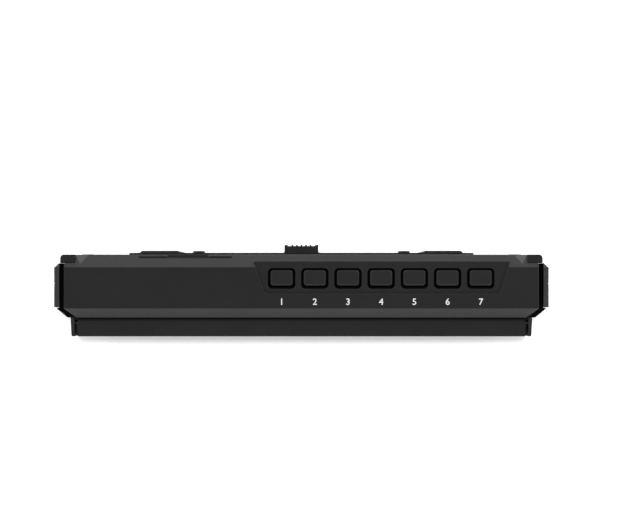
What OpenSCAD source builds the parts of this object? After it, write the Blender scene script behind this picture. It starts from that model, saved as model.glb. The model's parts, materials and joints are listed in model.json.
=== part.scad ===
// Camera field monitor with a fold-out sun hood, standing on its bottom edge.
// X runs to the right seen from the screen side, Y runs from the screen to the back, Z is up.

/* [Case] */
// Width of the case between the two side grooves
case_w = 148.8; // [140:0.2:160]
// Height of the case
case_h = 91; // [84:0.5:100]
// Depth of the case from its front plane to its back plane
case_d = 19.8; // [18.2:0.1:22]
// Thickness of the moulded walls
wall = 1.8; // [1.4:0.1:2]
// Depth of the chamfer round the front
front_chamfer = 2.9; // [2.4:0.1:3.2]
// How far the front chamfer draws the sides in
front_draw = 3.6; // [3:0.1:4]
// Depth of the chamfer along the top and bottom of the back
back_chamfer = 4.0; // [3.4:0.1:4.4]
// How far the back chamfer drops
back_drop = 3.4; // [2.8:0.1:3.8]

/* [Side caps] */
// Thickness of a side cap
cap_t = 1.6; // [1.2:0.1:2]
// Width of the dark groove between case and side cap
groove_w = 1.5; // [1:0.1:2]
// How far the dark spacer lies below the top and bottom of the case
spacer_drop = 2.6; // [1.5:0.1:4]
// Size of the small chamfer at the back of a side cap
cap_chamfer = 1.5; // [1:0.1:1.6]

/* [Screen] */
// Distance from the side of the case to the cover glass
glass_side = 8.9; // [8.4:0.1:10.4]
// Distance from the top of the case to the cover glass
glass_drop = 7; // [6.5:0.5:8.5]
// Thickness of the cover glass
glass_t = 1.1; // [0.7:0.1:1.2]
// Thickness of the display panel
panel_t = 1.6; // [1.2:0.1:2]
// Thickness of the backlight
backlight_t = 2.2; // [1.8:0.1:2.6]
// Thickness of the metal frame behind the backlight
chassis_t = 1.0; // [0.8:0.1:1.4]
// Width of the ledge that the display stack rests on
ledge_w = 2.4; // [1.8:0.1:3]

/* [Sun hood] */
// Depth of the hood in front of the case
hood_d = 5.95; // [5.8:0.05:7]
// How much shorter than the case the closed hood is
hood_short = 8.4; // [7:0.1:10]
// Distance from the side of the case to the foot of the hood
hood_inset = 1.8; // [1.4:0.1:2.4]
// Width of each side wall of the hood
hood_side_w = 9.2; // [8.6:0.1:10]
// Thickness of the thin rims beside the hinge rail
rim_t = 0.9; // [0.7:0.05:1.2]
// Thickness of the hood's base plate
hood_base_t = 1.2; // [1:0.1:1.3]
// Thickness of the visor's plate
visor_t = 1.2; // [1:0.05:1.3]
// Height of the hinge rail at the top of the visor
rail_h = 6.7; // [6:0.1:7.5]
// Thickness of a side wing
wing_t = 1.0; // [0.8:0.05:1.1]
// Gap between the edges of the two folded wings
wing_gap = 3; // [2:0.2:20]
// Width of a side wing at its top edge
wing_top_w = 11; // [8:0.5:11.5]
// Radius of the wing's hinge barrel
wing_barrel_r = 1.15; // [1.1:0.05:1.2]
// Radius of the visor's hinge barrel
visor_barrel_r = 1.1; // [1.05:0.05:1.2]
// Radius of the hinge pins
pin_r = 0.6; // [0.5:0.05:0.65]

/* [Keys] */
// Distance between two keys
key_pitch = 10.4; // [10:0.1:10.8]
// Width of a key well
well_w = 8.6; // [8.2:0.1:9]
// Depth of a key well along the case
well_d = 6.5; // [6.2:0.1:6.8]
// Distance from the right side of the case to the last key
key_side = 18.2; // [16:0.1:20]
// Distance of the row of keys from the case's back plane
key_back = 7.5; // [7.2:0.1:7.8]
// Depth of the sunk area round the keys
recess_t = 0.6; // [0.4:0.1:0.7]
// Travel of a key
key_travel = 0.35; // [0.2:0.05:0.4]

/* [Sockets] */
// Distance from the left side of the case to the power outlet
outlet_side = 13.2; // [12.4:0.1:14.4]
// Radius of the power outlet's bore
outlet_r = 3.15; // [2.8:0.05:3.3]
// Distance from the right side of the case to the headphone socket
phones_side = 41.4; // [38.4:0.1:44.4]
// Radius of the headphone socket's bore
phones_r = 1.8; // [1.75:0.05:1.9]
// Distance from the right side of the case to the charging socket
usb_side = 21.7; // [20.4:0.1:24.4]
// Length of a video socket's mouth
video_l = 15; // [14.6:0.1:15.6]
// Width of a video socket's mouth
video_w = 5.6; // [5:0.1:6]
// Radius of the thread in each side
thread_r = 2.6; // [2.5:0.05:2.7]

/* [Battery plate] */
// Distance from the side of the case to the back plate
plate_side = 19; // [17.4:0.2:24.4]
// Thickness of the back plate
plate_t = 0.75; // [0.6:0.05:0.9]
// Distance of the plate's top edge below the top of the case
plate_top = 22; // [20:0.5:24]
// Width of the battery
battery_w = 38.4; // [38:0.1:39]
// Depth of the battery bay below the plate's face
bay_d = 3.1; // [2.6:0.1:3.2]
// Thickness of the rubber pads
pad_t = 0.7; // [0.5:0.05:0.9]
// Width of a rubber pad
pad_w = 13; // [11:0.2:14]
// Distance from the side of the back plate to the middle of a rubber pad
pad_side = 9.7; // [8.4:0.1:11.4]

/* [Release latch] */
// Width of the release slide
slide_w = 10.7; // [10:0.1:11]
// Height of the release slide
slide_h = 8; // [7:0.1:9]
// How far the release slide stands out of the case
slide_out = 3.1; // [2.8:0.1:3.3]
// Travel of the release slide
slide_travel = 2.4; // [1.6:0.1:2.6]

/* [Fits] */
// Gap round parts that move
move_gap = 0.2; // [0.15:0.01:0.25]
// Gap round parts that are fitted and stay
fit_gap = 0.1; // [0.05:0.01:0.15]
// Gap round hinge pins in the pieces that turn
pin_gap = 0.05; // [0.03:0.01:0.08]

/* [Hidden] */
$fn = 48;

eps = 0.01;
half_w = case_w / 2;
overall_half_w = half_w + groove_w + cap_t;
slide_top = case_d + slide_out;
mid_y = (slide_top - hood_d) / 2;
mid_z = case_h / 2;

// Case posts and their screws
post_r = 2.6;
post_depth = 7.8;
post_y = case_d - post_depth;
screw_side = 5.8;
screw_x = half_w - screw_side;
screw_z = 12;
screw_r = 1.0;
screw_core_r = 0.75;
screw_floor = 2.1;
screw_y0 = front_chamfer + screw_floor;
head_r = 1.9;
head_sink = 1.4;
head_low = 0.2;
cross_r = 1.1;
cross_half = 0.2;
cross_t = 0.4;

// Bezel, side caps and spacers
skirt_l = 2.4;
cap_short = 2.7;
cap_back = case_d - cap_short;
cap_lap = 0.3;
spacer_lip = 0.5;
part_shift = 0.7;
part_y = case_d / 2 + part_shift;
part_w = 0.25;
part_t = 0.2;

// Corner feet and the notches beside them
foot_in = 3.5;
foot_x = half_w - foot_in;
foot_out = 1.3;
foot_h = 10;
foot_r = 1.2;
foot_stand = 0.8;
foot_drop = 1.5;
notch_w = 4.1;
notch_tip = 1.5;
notch_l = 3.0;
notch_top = 1.0;
notch_fall = 8.4;

// Display stack and the frame behind it
glass_w = case_w - 2 * glass_side;
glass_h = case_h - 2 * glass_drop;
glass_sink = 0.1;
panel_y = glass_sink + glass_t + fit_gap;
backlight_y = panel_y + panel_t;
backlight_inset = 0.4;
chassis_y = backlight_y + backlight_t;
chassis_hole_x = 24;
chassis_hole_r = 6;
stack_w = glass_w - 2 * ledge_w;
stack_h = glass_h - 2 * ledge_w;
rim_w = 1.6;
ribbon_w = 24;
ribbon_h = 14;
ribbon_drop = 14.5;

// Main board
standoff_h = 1.9;
standoff_r = 2.6;
standoff_x = 40;
standoff_z = 25;
board_y = chassis_y + chassis_t + standoff_h;
board_t = 1.2;
board_back = board_y + board_t;
board_left = 1.2;
board_right = 8;
board_low = 5;
board_top = 12;
board_hole_r = 1.1;
board_screw_r = 0.85;
board_head_h = 0.8;
post_room = 0.8;
chip_t = 1.4;
chip_w = 14;

// Sun hood
hood_h = case_h - hood_short;
hood_half_w = half_w - hood_inset;
hood_lift = 0.2;
hood_z0 = mid_z - hood_h / 2 + hood_lift;
hood_z1 = hood_z0 + hood_h;
hood_edge_x = 0.5;
hood_edge_y = 0.4;
side_sink = 0.75;
side_slant = 0.9;
hinge_y = -(visor_barrel_r + move_gap);
hinge_z = hood_z1 - visor_barrel_r;
rail_z0 = hood_z1 - rail_h;
rail_gap = 1.0;
rail_lip = 1.6;
rim_edge = 0.3;
side_in = hood_half_w - hood_side_w;
rim_x = hood_half_w - rim_edge - rim_t;
rail_half_w = rim_x - rail_gap;
visor_side = 1.1;
visor_half_w = side_in - visor_side;
visor_sink = 0.45;
visor_face = hood_d - visor_sink;
visor_in = visor_face - visor_t;
visor_rib_x = 0.6;
visor_rib_half = 0.25;
visor_rib_h = 0.35;
hinge_pin_l = 5.6;
barrel_gap = 0.35;
wing_x = side_in - wing_barrel_r - barrel_gap;
wing_y = -(hood_base_t + wing_barrel_r + barrel_gap);
wing_w = wing_x - wing_gap / 2;
lip_z0 = hood_z0 + move_gap;
lug_h = 1.8;
lug_z0 = lip_z0 + visor_t + 2 * move_gap;
wing_z0 = lug_z0 + lug_h + move_gap;
wing_z1 = rail_z0 - lug_h - 4 * move_gap;
// Height at which a wing reaches its full width, from the slope of its cut corner
wing_cut = 1.02;
wing_full_z = wing_z1 - (wing_w - wing_top_w) / wing_cut;
window_half_w = wing_x - wing_barrel_r - 3 * fit_gap;
window_low = 3.4;
window_z0 = hood_z0 + window_low;
window_high = 2.8;
window_z1 = hinge_z - visor_barrel_r - window_high;
window_rim = 2.2;
clip_side = 4.0;
clip_x = hood_half_w - clip_side;
clip_z = 24;
clip_half_w = 0.7;
clip_half_h = 3;
clip_l = 1.6;

// Keys, their board and the sunk area round them
key_count = 7;
key_y = case_d - key_back;
first_key_x = half_w - key_side - (key_count - 1) * key_pitch;
well_r = 1.4;
recess_front = 4.8;
recess_rear = 5.4;
recess_left = 5.1;
recess_right = 5.8;
recess_r = 1.3;
recess_y0 = key_y - recess_front;
recess_y1 = key_y + recess_rear;
recess_x0 = first_key_x - recess_left;
recess_x1 = first_key_x + (key_count - 1) * key_pitch + recess_right;
recess_slant_right = 3.4;
recess_slant_left = 3.7;
ground_t = 3.4;
floor_z = case_h - recess_t;
key_under = case_h - wall;
key_gap = 0.5;
key_r = 1.0;
key_top_r = 0.7;
key_bevel_x = 0.55;
key_bevel_y = 0.4;
key_rise = 0.45;
key_edge = 0.05;
layer_t = 0.1;
flange_t = 0.6;
flange_lap = 0.45;
stem_half = 1.5;
key_board_drop = 5.0;
key_board_z = key_under - key_board_drop;
key_board_t = 1.0;
key_board_front = 3.9;
key_board_rear = 2.5;
key_board_hole_r = 0.9;
switch_drop = 0.75;
switch_top = key_under - key_travel - flange_t - switch_drop;
switch_half = 2.2;
plunger_r = 1.1;
plunger_h = 0.5;
stem_gap = 0.06;
stem_z = switch_top + key_travel + stem_gap;

// Power outlet
outlet_x = -half_w + outlet_side;
outlet_back = 6.3;
outlet_y = case_d - outlet_back;
outlet_wall = 0.75;
outlet_sink = 0.25;
outlet_l = 9.5;
outlet_end = 11.5;
outlet_seat_half = 4.4;
outlet_seat_z0 = 11;
outlet_seat_z1 = 14.5;
outlet_notch_z = 11.8;
outlet_pin_r = 0.8;
outlet_pin_z = 1.2;
island_left = 5.4;
island_right = 7.8;
island_taper = 0.6;
island_short = 1.4;
island_back = case_d - island_short;

// Headphone and charging sockets
phones_x = half_w - phones_side;
phones_up = 3.7;
phones_y = board_back + phones_up;
phones_wall = 0.2;
phones_sink = 0.4;
phones_half = 3;
phones_back = 2.2;
phones_l = 12.5;
usb_x = half_w - usb_side;
usb_up = 2.5;
usb_y = board_back + usb_up;
usb_w = 8.94;
usb_d = 3.26;
usb_r = 1.6;
usb_t = 0.3;
usb_sink = 0.05;
usb_l = 8.4;
usb_floor = 0.6;
usb_leg_x = 2.6;
usb_leg_half = 0.5;
usb_leg_z = 5.2;
usb_leg_h = 2.4;
tongue_w = 6.69;
tongue_d = 0.7;
tongue_z = 0.9;
line_t = 0.15;
phones_line_w = 8.4;
phones_line_y = 4.6;
usb_line_w = 11;
usb_line_y = 3.4;

// Video sockets
socket_h = 4.6;
video_y = board_back + socket_h / 2;
video_half_h = 7;
video_room = 1.9;
video_z = mid_z - screw_z - post_r - video_half_h - video_room;
video_sink = 1.2;
video_len = 11.5;
video_depth = 10;
cavity_half_w = 1.95;
cavity_half_h = 6.6;
cavity_bevel = 2.8;
video_tongue_t = 1.0;
video_tongue_half = 5.2;

// Threads for camera screws and the holes beside them
thread_back = 9.1;
thread_y = case_d - thread_back;
insert_l = 7;
insert_r = 4.2;
insert_flange = 1.2;
insert_sink = 0.3;
insert_floor = 0.8;
insert_room = 8;
mouth_flare = 0.6;
mouth_r = thread_r + mouth_flare;
mouth_l = 0.5;
locating_r = 1.6;
locating_l = 2.6;
locating_z = 8;

// Battery plate and bay
plate_w = case_w - 2 * plate_side;
plate_z1 = case_h - plate_top;
plate_z0 = 3.2;
plate_face = case_d + plate_t;
plate_corner = 4;
plate_screw_side = 22.4;
plate_screw_x = plate_w / 2 - plate_screw_side;
plate_screw_edge = 4;
plate_screw_r = 0.95;
plate_screw_l = 2;
plate_head_h = 0.6;
slide_drop = 14;
slide_z = case_h - slide_drop;
catch_drop = 12.4;
catch_z = slide_z - catch_drop;
bay_gap = 0.3;
bay_half_w = battery_w / 2 + bay_gap;
bay_wall = 1.6;
bay_z0 = plate_z0 + bay_wall;
bay_short = 4.6;
bay_z1 = catch_z - bay_short;
bay_floor = plate_face - bay_d;
tray_t = 1.0;
lip_w = 1.6;
lip_t = 1.1;
entry_z = 14;
entry_pitch = 22;
entry_h = 7;
pad_x = plate_w / 2 - pad_side;
pad_z0 = 5;
pad_short = 6;
pad_z1 = plate_z1 - pad_short;
contact_half_w = 11;
contact_h = 10;
contact_drop = 2;
contact_back = 0.8;
contact_out = 1.4;
blade_pitch = 7.5;
blade_half = 0.35;
blade_room = 1.0;
blade_sink = 0.4;
blade_out = 1.2;
blade_l = 7.5;
blade_drop = 4;

// Vents and cuts in the back chamfer
vent_x = 12.3;
vent_side = 8.3;
vent_half_w = 4.05;
vent_t = 0.9;
vent_low = 1.1;
vent_up = 2.4;
hook_x = 3.8;
hook_w = 2.8;
hook_in = 1.5;
hook_z = 1.9;
hook_room = 8.3;
hook_depth = 1.7;
cut_side = 22.4;
cut_w = 31;
cut_slant = 1;
cut_t = 1.2;
cut_rise = 0.4;
cut_z = case_h - back_drop + cut_rise;
dip_side = 31.4;
dip_w = 14.6;
dip_t = 0.8;
dip_z = case_h - back_drop - dip_t;

// Release slide, its spring and the battery catch
shank_w = 6;
shank_h = 5;
shank_in = 1.2;
window_t = 0.6;
well_gap = 0.5;
well_half_w = slide_w / 2 + slide_travel + well_gap;
rib_h = 0.35;
rib_pitch = 1.44;
rib_half = 0.3;
end_rib = 1.0;
flare = 0.6;
flare_h = 1.0;
keeper_half = 8;
keeper_t = 1.4;
keeper_h = 7.6;
keeper_low = 4;
spring_gap = 0.4;
spring_t = 0.4;
spring_h = 3.2;
spring_l = 6;
spring_half = 3;
catch_w = 6;
catch_h = 3.6;
catch_out = 0.9;
catch_in = 1.6;
catch_bevel = 1.2;
catch_base = 0.8;
catch_base_lap = 1.2;
catch_base_half = 2.6;

// Moves everything so that the middle of the whole depth is at Y = 0
module place() {
    translate([0, -mid_y, 0]) children();
}

// The pair of anything that is the same on both sides
module both_sides() {
    children();
    mirror([1, 0, 0]) children();
}

module block(x0, x1, y0, y1, z0, z1) {
    translate([x0, y0, z0]) cube([x1 - x0, y1 - y0, z1 - z0]);
}

// A rounded plate in X and Y, standing on z0
module soft_plate(cx, cy, w, d, r, z0, z1) {
    translate([cx, cy, z0]) linear_extrude(z1 - z0) rounded(w, d, r);
}

module rounded(w, d, r) {
    square([w - 2 * r, d], center = true);
    square([w, d - 2 * r], center = true);
    for (sx = [-1, 1], sy = [-1, 1])
        translate([sx * (w / 2 - r), sy * (d / 2 - r)]) circle(r);
}

// A cylinder along Y from y0 to y1
module rod_y(x, z, r, y0, y1) {
    translate([x, y0, z]) rotate([-90, 0, 0]) cylinder(r = r, h = y1 - y0);
}

// A cylinder along Z from z0 to z1
module rod_z(x, y, r, z0, z1) {
    translate([x, y, z0]) cylinder(r = r, h = z1 - z0);
}

// A cylinder along X from x0 to x1
module rod_x(y, z, r, x0, x1) {
    translate([x0, y, z]) rotate([0, 90, 0]) cylinder(r = r, h = x1 - x0);
}

// Extrudes a shape drawn in Y and Z along X, from x0 to x1
module along_x(x0, x1) {
    translate([x0, 0, 0]) rotate([90, 0, 90]) linear_extrude(x1 - x0) children();
}

// Case

// Outline of the case seen from above
module top_outline(side) {
    polygon([
        [-(side - front_draw), 0], [side - front_draw, 0], [side, front_chamfer],
        [side, case_d], [-side, case_d], [-side, front_chamfer]]);
}

// Outline of the case seen from the side, drawn in Y and Z
module side_outline() {
    polygon([
        [0, front_chamfer], [front_chamfer, 0], [case_d - back_chamfer, 0], [case_d, back_drop],
        [case_d, case_h - back_drop], [case_d - back_chamfer, case_h], [front_chamfer, case_h],
        [0, case_h - front_chamfer]]);
}

module case_solid() {
    intersection() {
        linear_extrude(case_h) top_outline(half_w);
        along_x(-half_w, half_w) side_outline();
    }
}

// Hollow of the case, with walls of one thickness behind the slanted faces too
module case_hollow() {
    slope = back_drop / back_chamfer;
    slant = sqrt(1 + slope * slope) * wall;
    y0 = case_d - back_chamfer;
    y_in = y0 - (slant - wall) / slope;
    z_in = slant + slope * (case_d - wall - y0);
    along_x(-half_w + wall, half_w - wall)
        polygon([
            [front_chamfer - eps, wall], [y_in, wall], [case_d - wall, z_in],
            [case_d - wall, case_h - z_in], [y_in, case_h - wall],
            [front_chamfer - eps, case_h - wall]]);
}

// Outline of the sunk area, as seen from above: slanted ends and two rounded corners. The corner
// circles touch the front edge and the slanted ends
module recess_shape() {
    recess_half(recess_x0, -recess_slant_left);
    recess_half(recess_x1, recess_slant_right);
}

// From the middle of the sunk area to its end at x, which leans out by slant
module recess_half(x, slant) {
    middle = (recess_x0 + recess_x1) / 2;
    side = slant > 0 ? 1 : -1;
    depth = recess_y1 - recess_y0;
    lean = atan2(abs(slant), depth);
    corner_x = x - side * recess_r * (1 - sin(lean)) / cos(lean);
    edge_x = corner_x + side * recess_r * cos(lean);
    edge_y = recess_y0 + recess_r * (1 - sin(lean));
    polygon([
        [middle, recess_y0], [corner_x, recess_y0], [corner_x, recess_y0 + recess_r],
        [edge_x, edge_y], [x + slant, recess_y1], [middle, recess_y1]]);
    translate([corner_x, recess_y0 + recess_r]) circle(recess_r);
}

module key_wells() {
    for (i = [0:key_count - 1])
        soft_plate(first_key_x + i * key_pitch, key_y, well_w, well_d, well_r,
            key_under - 1, case_h + 1);
}

// Flat island that carries the power outlet across the back chamfer
module outlet_island() {
    linear_extrude(back_drop)
        polygon([
            [outlet_x - island_left, case_d - back_chamfer - 1],
            [outlet_x + island_right, case_d - back_chamfer - 1],
            [outlet_x + island_right - island_taper, island_back],
            [outlet_x - island_left + island_taper, island_back]]);
}

// Notch beside a top corner foot, falling towards the back
module corner_notch() {
    intersection() {
        linear_extrude(case_h + 1)
            polygon([
                [foot_x - notch_w, case_d + eps], [foot_x - notch_tip, case_d - notch_l],
                [foot_x, case_d + eps]]);
        along_x(0, overall_half_w)
            polygon([
                [case_d - notch_l, case_h + 1], [case_d - notch_l, case_h - notch_top],
                [case_d + 1, case_h - notch_fall], [case_d + 1, case_h + 1]]);
    }
}

module corner_notches() {
    both_sides() {
        corner_notch();
        translate([0, 0, case_h]) mirror([0, 0, 1]) corner_notch();
    }
}

module foot_shape(z0, z1, y1) {
    block(foot_x, half_w + foot_out, cap_back, y1, z0, z1);
}

// Mouths of the two video sockets, cut out of the left side
module video_mouths() {
    for (s = [-1, 1])
        block(-overall_half_w - 1, -half_w + wall + 1, video_y - video_w / 2, video_y + video_w / 2,
            mid_z + s * video_z - video_l / 2, mid_z + s * video_z + video_l / 2);
}

module insert_hole() {
    rod_x(thread_y, mid_z, insert_r + fit_gap, half_w - wall - 1, overall_half_w + 1);
}

// Two blind holes that stop a clamp from turning
module locating_holes() {
    for (s = [-1, 1])
        rod_x(thread_y, mid_z + s * locating_z, locating_r, overall_half_w - locating_l,
            overall_half_w + 1);
}

module rear_shell() {
    color("#29292b") place() difference() {
        union() {
            difference() {
                intersection() {
                    case_solid();
                    block(-half_w, half_w, front_chamfer, case_d, 0, case_h);
                }
                case_hollow();
            }
            // Solid ground under the sunk area and the power outlet, over the back chamfer
            intersection() {
                translate([0, 0, floor_z - ground_t]) linear_extrude(ground_t) recess_shape();
                block(-half_w, half_w, case_d - back_chamfer - 0.4, case_d, 0, case_h);
            }
            outlet_island();
            // Posts for the case screws
            for (s = [-1, 1], z = [screw_z, case_h - screw_z])
                rod_y(s * screw_x, z, post_r, post_y, case_d - wall + eps);
        }
        // Sunk area and key wells in the top
        translate([0, 0, floor_z]) linear_extrude(recess_t + 1) recess_shape();
        key_wells();
        // Socket holes in the bottom
        rod_z(outlet_x, outlet_y, outlet_r + outlet_wall + fit_gap, -1, back_drop + 1);
        rod_z(phones_x, phones_y, phones_r + phones_wall + fit_gap, -1, wall + 1);
        soft_plate(usb_x, usb_y, usb_w + 2 * fit_gap, usb_d + 2 * fit_gap, usb_r, -1, wall + 1);
        // Video sockets on the left side, and a thread in each side
        video_mouths();
        both_sides() insert_hole();
        // Back: notches, feet, bay, slide window, catch slot and screws
        corner_notches();
        both_sides() {
            foot_shape(-1, foot_h, case_d + 1);
            foot_shape(case_h - foot_h, case_h + 1, case_d + 1);
        }
        block(-bay_half_w - tray_t - fit_gap, bay_half_w + tray_t + fit_gap,
            bay_floor - tray_t - 1, case_d + 1, plate_z0 - fit_gap, bay_z1 + tray_t + fit_gap);
        block(-hook_room, hook_room, case_d - hook_depth, case_d + 1, hook_z - fit_gap,
            plate_z0 + bay_wall);
        block(-well_half_w, well_half_w, case_d - window_t, case_d + 1,
            slide_z - slide_h / 2 - 1, slide_z + slide_h / 2 + 1);
        block(-shank_w / 2 - move_gap, shank_w / 2 + slide_travel + move_gap,
            case_d - wall - 1, case_d + 1, slide_z - shank_h / 2 - move_gap, slide_z + shank_h / 2 + move_gap);
        block(-catch_w / 2 - move_gap, catch_w / 2 + move_gap, case_d - wall - 1, case_d + 1,
            catch_z - catch_h / 2 - move_gap, catch_z + catch_h / 2 + move_gap);
        for (s = [-1, 1], z = [screw_z, case_h - screw_z]) {
            rod_y(s * screw_x, z, screw_r + fit_gap, post_y - 1, case_d + 1);
            rod_y(s * screw_x, z, head_r + 2 * fit_gap, case_d - head_sink, case_d + 1);
        }
        plate_screw_places() rod_y(0, 0, plate_screw_r + fit_gap, case_d - wall - 1, case_d + 1);
        // Vents along the bottom edge of the plate
        both_sides() for (x = [vent_x, plate_w / 2 - vent_side])
            block(x - vent_half_w, x + vent_half_w, case_d - vent_t, case_d + 1,
                back_drop - vent_low, back_drop + vent_up);
        // Shallow cut in the top of the back chamfer, with a deeper dip in its middle
        top_cut(-half_w + cut_side, cut_w, cut_t, cut_z);
        top_cut(-half_w + dip_side, dip_w, dip_t, dip_z);
        // Fine lines over the headphone and charging sockets
        engraved_line(phones_x, phones_line_w, phones_y - phones_line_y);
        engraved_line(usb_x, usb_line_w, usb_y - usb_line_y);
    }
}

// A cut with slanted ends, open to the back and upwards
module top_cut(x0, w, depth, z) {
    translate([0, 0, z]) linear_extrude(case_h - z + 1)
        polygon([
            [x0, case_d + 1], [x0 + cut_slant, case_d - depth], [x0 + w - cut_slant, case_d - depth],
            [x0 + w, case_d + 1]]);
}

module engraved_line(x, w, y) {
    block(x - w / 2, x + w / 2, y - line_t, y, -1, line_t);
}

// The four fixing points of the back plate
module plate_screw_places() {
    for (s = [-1, 1], z = [plate_z0 + plate_screw_edge, plate_z1 - plate_screw_edge])
        translate([s * plate_screw_x, 0, z]) children();
}

module front_bezel() {
    color("#2a2a2c") place() difference() {
        union() {
            intersection() {
                case_solid();
                block(-half_w, half_w, 0, front_chamfer, 0, case_h);
            }
            // Skirt inside the rear shell
            difference() {
                block(-half_w + wall + fit_gap, half_w - wall - fit_gap, front_chamfer - eps,
                    front_chamfer + skirt_l, wall + fit_gap, case_h - wall - fit_gap);
                block(-half_w + 2 * wall + fit_gap, half_w - 2 * wall - fit_gap,
                    front_chamfer - 1, front_chamfer + skirt_l + 1, 2 * wall + fit_gap,
                    case_h - 2 * wall - fit_gap);
                thread_gap();
                mirror([1, 0, 0]) thread_gap();
            }
            // Rim behind the front that the metal frame rests on
            block(-stack_w / 2 - rim_w, stack_w / 2 + rim_w, front_chamfer - eps, chassis_y,
                mid_z - stack_h / 2 - rim_w, mid_z + stack_h / 2 + rim_w);
            // Posts for the case screws
            for (s = [-1, 1], z = [screw_z, case_h - screw_z])
                rod_y(s * screw_x, z, post_r, front_chamfer - eps, post_y - fit_gap);
        }
        // Seat of the glass, and the opening behind it
        block(-glass_w / 2 - fit_gap, glass_w / 2 + fit_gap, -1, panel_y,
            mid_z - glass_h / 2 - fit_gap, mid_z + glass_h / 2 + fit_gap);
        block(-stack_w / 2 - fit_gap, stack_w / 2 + fit_gap, 0, chassis_y + 1,
            mid_z - stack_h / 2 - fit_gap, mid_z + stack_h / 2 + fit_gap);
        for (s = [-1, 1], z = [screw_z, case_h - screw_z])
            rod_y(s * screw_x, z, screw_core_r + fit_gap, screw_y0 - 1, post_y + 1);
        // Slots for the clips of the hood
        hood_clip_blocks(fit_gap);
    }
}

// Room for the thread inserts in the bezel's skirt
module thread_gap() {
    block(half_w - 2 * wall - 1, half_w, 0, front_chamfer + skirt_l + 1, mid_z - insert_room,
        mid_z + insert_room);
}

module hood_clip_blocks(gap) {
    for (s = [-1, 1], z = [mid_z - clip_z, mid_z + clip_z])
        block(s * clip_x - clip_half_w - gap, s * clip_x + clip_half_w + gap, -eps, clip_l + gap,
            z - clip_half_h - gap, z + clip_half_h + gap);
}

// The dark spacer between case and side cap, with its lip along the front chamfer
module side_spacer() {
    difference() {
        intersection() {
            translate([0, 0, spacer_drop]) linear_extrude(case_h - 2 * spacer_drop)
                polygon([
                    [half_w, front_chamfer], [half_w - front_draw + fit_gap, eps],
                    [overall_half_w - front_draw - spacer_lip, eps],
                    [overall_half_w - spacer_lip, front_chamfer],
                    [half_w + groove_w, front_chamfer + cap_lap],
                    [half_w + groove_w, cap_back - fit_gap], [half_w, cap_back - fit_gap]]);
            along_x(0, overall_half_w) side_outline();
        }
        insert_hole();
        locating_holes();
    }
}

module side_cap() {
    x0 = half_w + groove_w;
    x1 = overall_half_w;
    difference() {
        intersection() {
            linear_extrude(case_h)
                polygon([
                    [x0, front_chamfer + cap_lap], [x1, front_chamfer + cap_lap],
                    [x1, cap_back - cap_chamfer], [x1 - cap_chamfer, cap_back], [x0, cap_back]]);
            along_x(x0, x1) side_outline();
        }
        // Parting line half way through the depth
        block(x1 - part_t, x1 + 1, part_y, part_y + part_w, -1, case_h + 1);
        insert_hole();
        locating_holes();
    }
}

module left_side_spacer() {
    color("#0c0c0d") place() difference() {
        mirror([1, 0, 0]) side_spacer();
        video_mouths();
    }
}

module right_side_spacer() {
    color("#0c0c0d") place() side_spacer();
}

module left_side_cap() {
    color("#333336") place() difference() {
        mirror([1, 0, 0]) side_cap();
        video_mouths();
    }
}

module right_side_cap() {
    color("#333336") place() side_cap();
}

// A corner foot with one rounded outer corner
module corner_foot(z0, z1, y1) {
    difference() {
        foot_shape(z0 + fit_gap, z1 - fit_gap, y1);
        translate([half_w + foot_out - foot_r, y1 - foot_r, z0 - 1]) difference() {
            cube([foot_r + 1, foot_r + 1, z1 - z0 + 2]);
            translate([0, 0, -1]) cylinder(r = foot_r, h = z1 - z0 + 4);
        }
    }
}

module corner_feet() {
    color("#1d1d1f") place() both_sides() {
        corner_foot(-fit_gap, foot_h, case_d + foot_stand);
        corner_foot(case_h - foot_h, case_h - foot_drop, case_d);
    }
}

// Display

module cover_glass() {
    color("#08090b") place()
        block(-glass_w / 2, glass_w / 2, glass_sink, glass_sink + glass_t,
            mid_z - glass_h / 2, mid_z + glass_h / 2);
}

module stack_layer(y0, t, inset) {
    block(-stack_w / 2 + inset, stack_w / 2 - inset, y0, y0 + t,
        mid_z - stack_h / 2 + inset, mid_z + stack_h / 2 - inset);
}

module display_panel() {
    color("#11151b") place() stack_layer(panel_y, panel_t, 0);
}

module backlight_unit() {
    color("#d9dbdd") place() stack_layer(backlight_y, backlight_t, backlight_inset);
}

// Metal frame that closes the display stack and carries the main board on four standoffs
module chassis_plate() {
    color("#a4a7aa") place() difference() {
        union() {
            stack_layer(chassis_y, chassis_t, -rim_w);
            board_corners() rod_y(0, 0, standoff_r, chassis_y + chassis_t - eps, board_y);
        }
        for (s = [-1, 1])
            rod_y(s * chassis_hole_x, mid_z, chassis_hole_r, chassis_y - 1, board_y);
        board_corners() rod_y(0, 0, board_screw_r + fit_gap, chassis_y - 1, board_y + 1);
    }
}

// The four fixing points of the main board
module board_corners() {
    for (sx = [-1, 1], sz = [-1, 1])
        translate([sx * standoff_x, 0, mid_z + sz * standoff_z]) children();
}

// Electronics

module main_board() {
    post = post_r + post_room;
    notch = outlet_r + outlet_wall + 2 * fit_gap;
    color("#1d4a2c") place() difference() {
        block(-half_w + wall + board_left, half_w - wall - board_right, board_y, board_back,
            board_low, case_h - board_top);
        for (s = [-1, 1], z = [screw_z, case_h - screw_z])
            block(s * screw_x - post, s * screw_x + post, board_y - 1, board_back + 1,
                z - post, z + post);
        board_corners() rod_y(0, 0, board_hole_r, board_y - 1, board_back + 1);
        // Room for the thread inserts and the power outlet
        both_sides() block(overall_half_w - insert_sink - insert_l - 1, half_w, board_y - 1,
            board_back + 1, mid_z - insert_room, mid_z + insert_room);
        block(-half_w, outlet_x + notch, board_y - 1, board_back + 1, board_low - 1,
            outlet_notch_z);
    }
}

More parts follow.
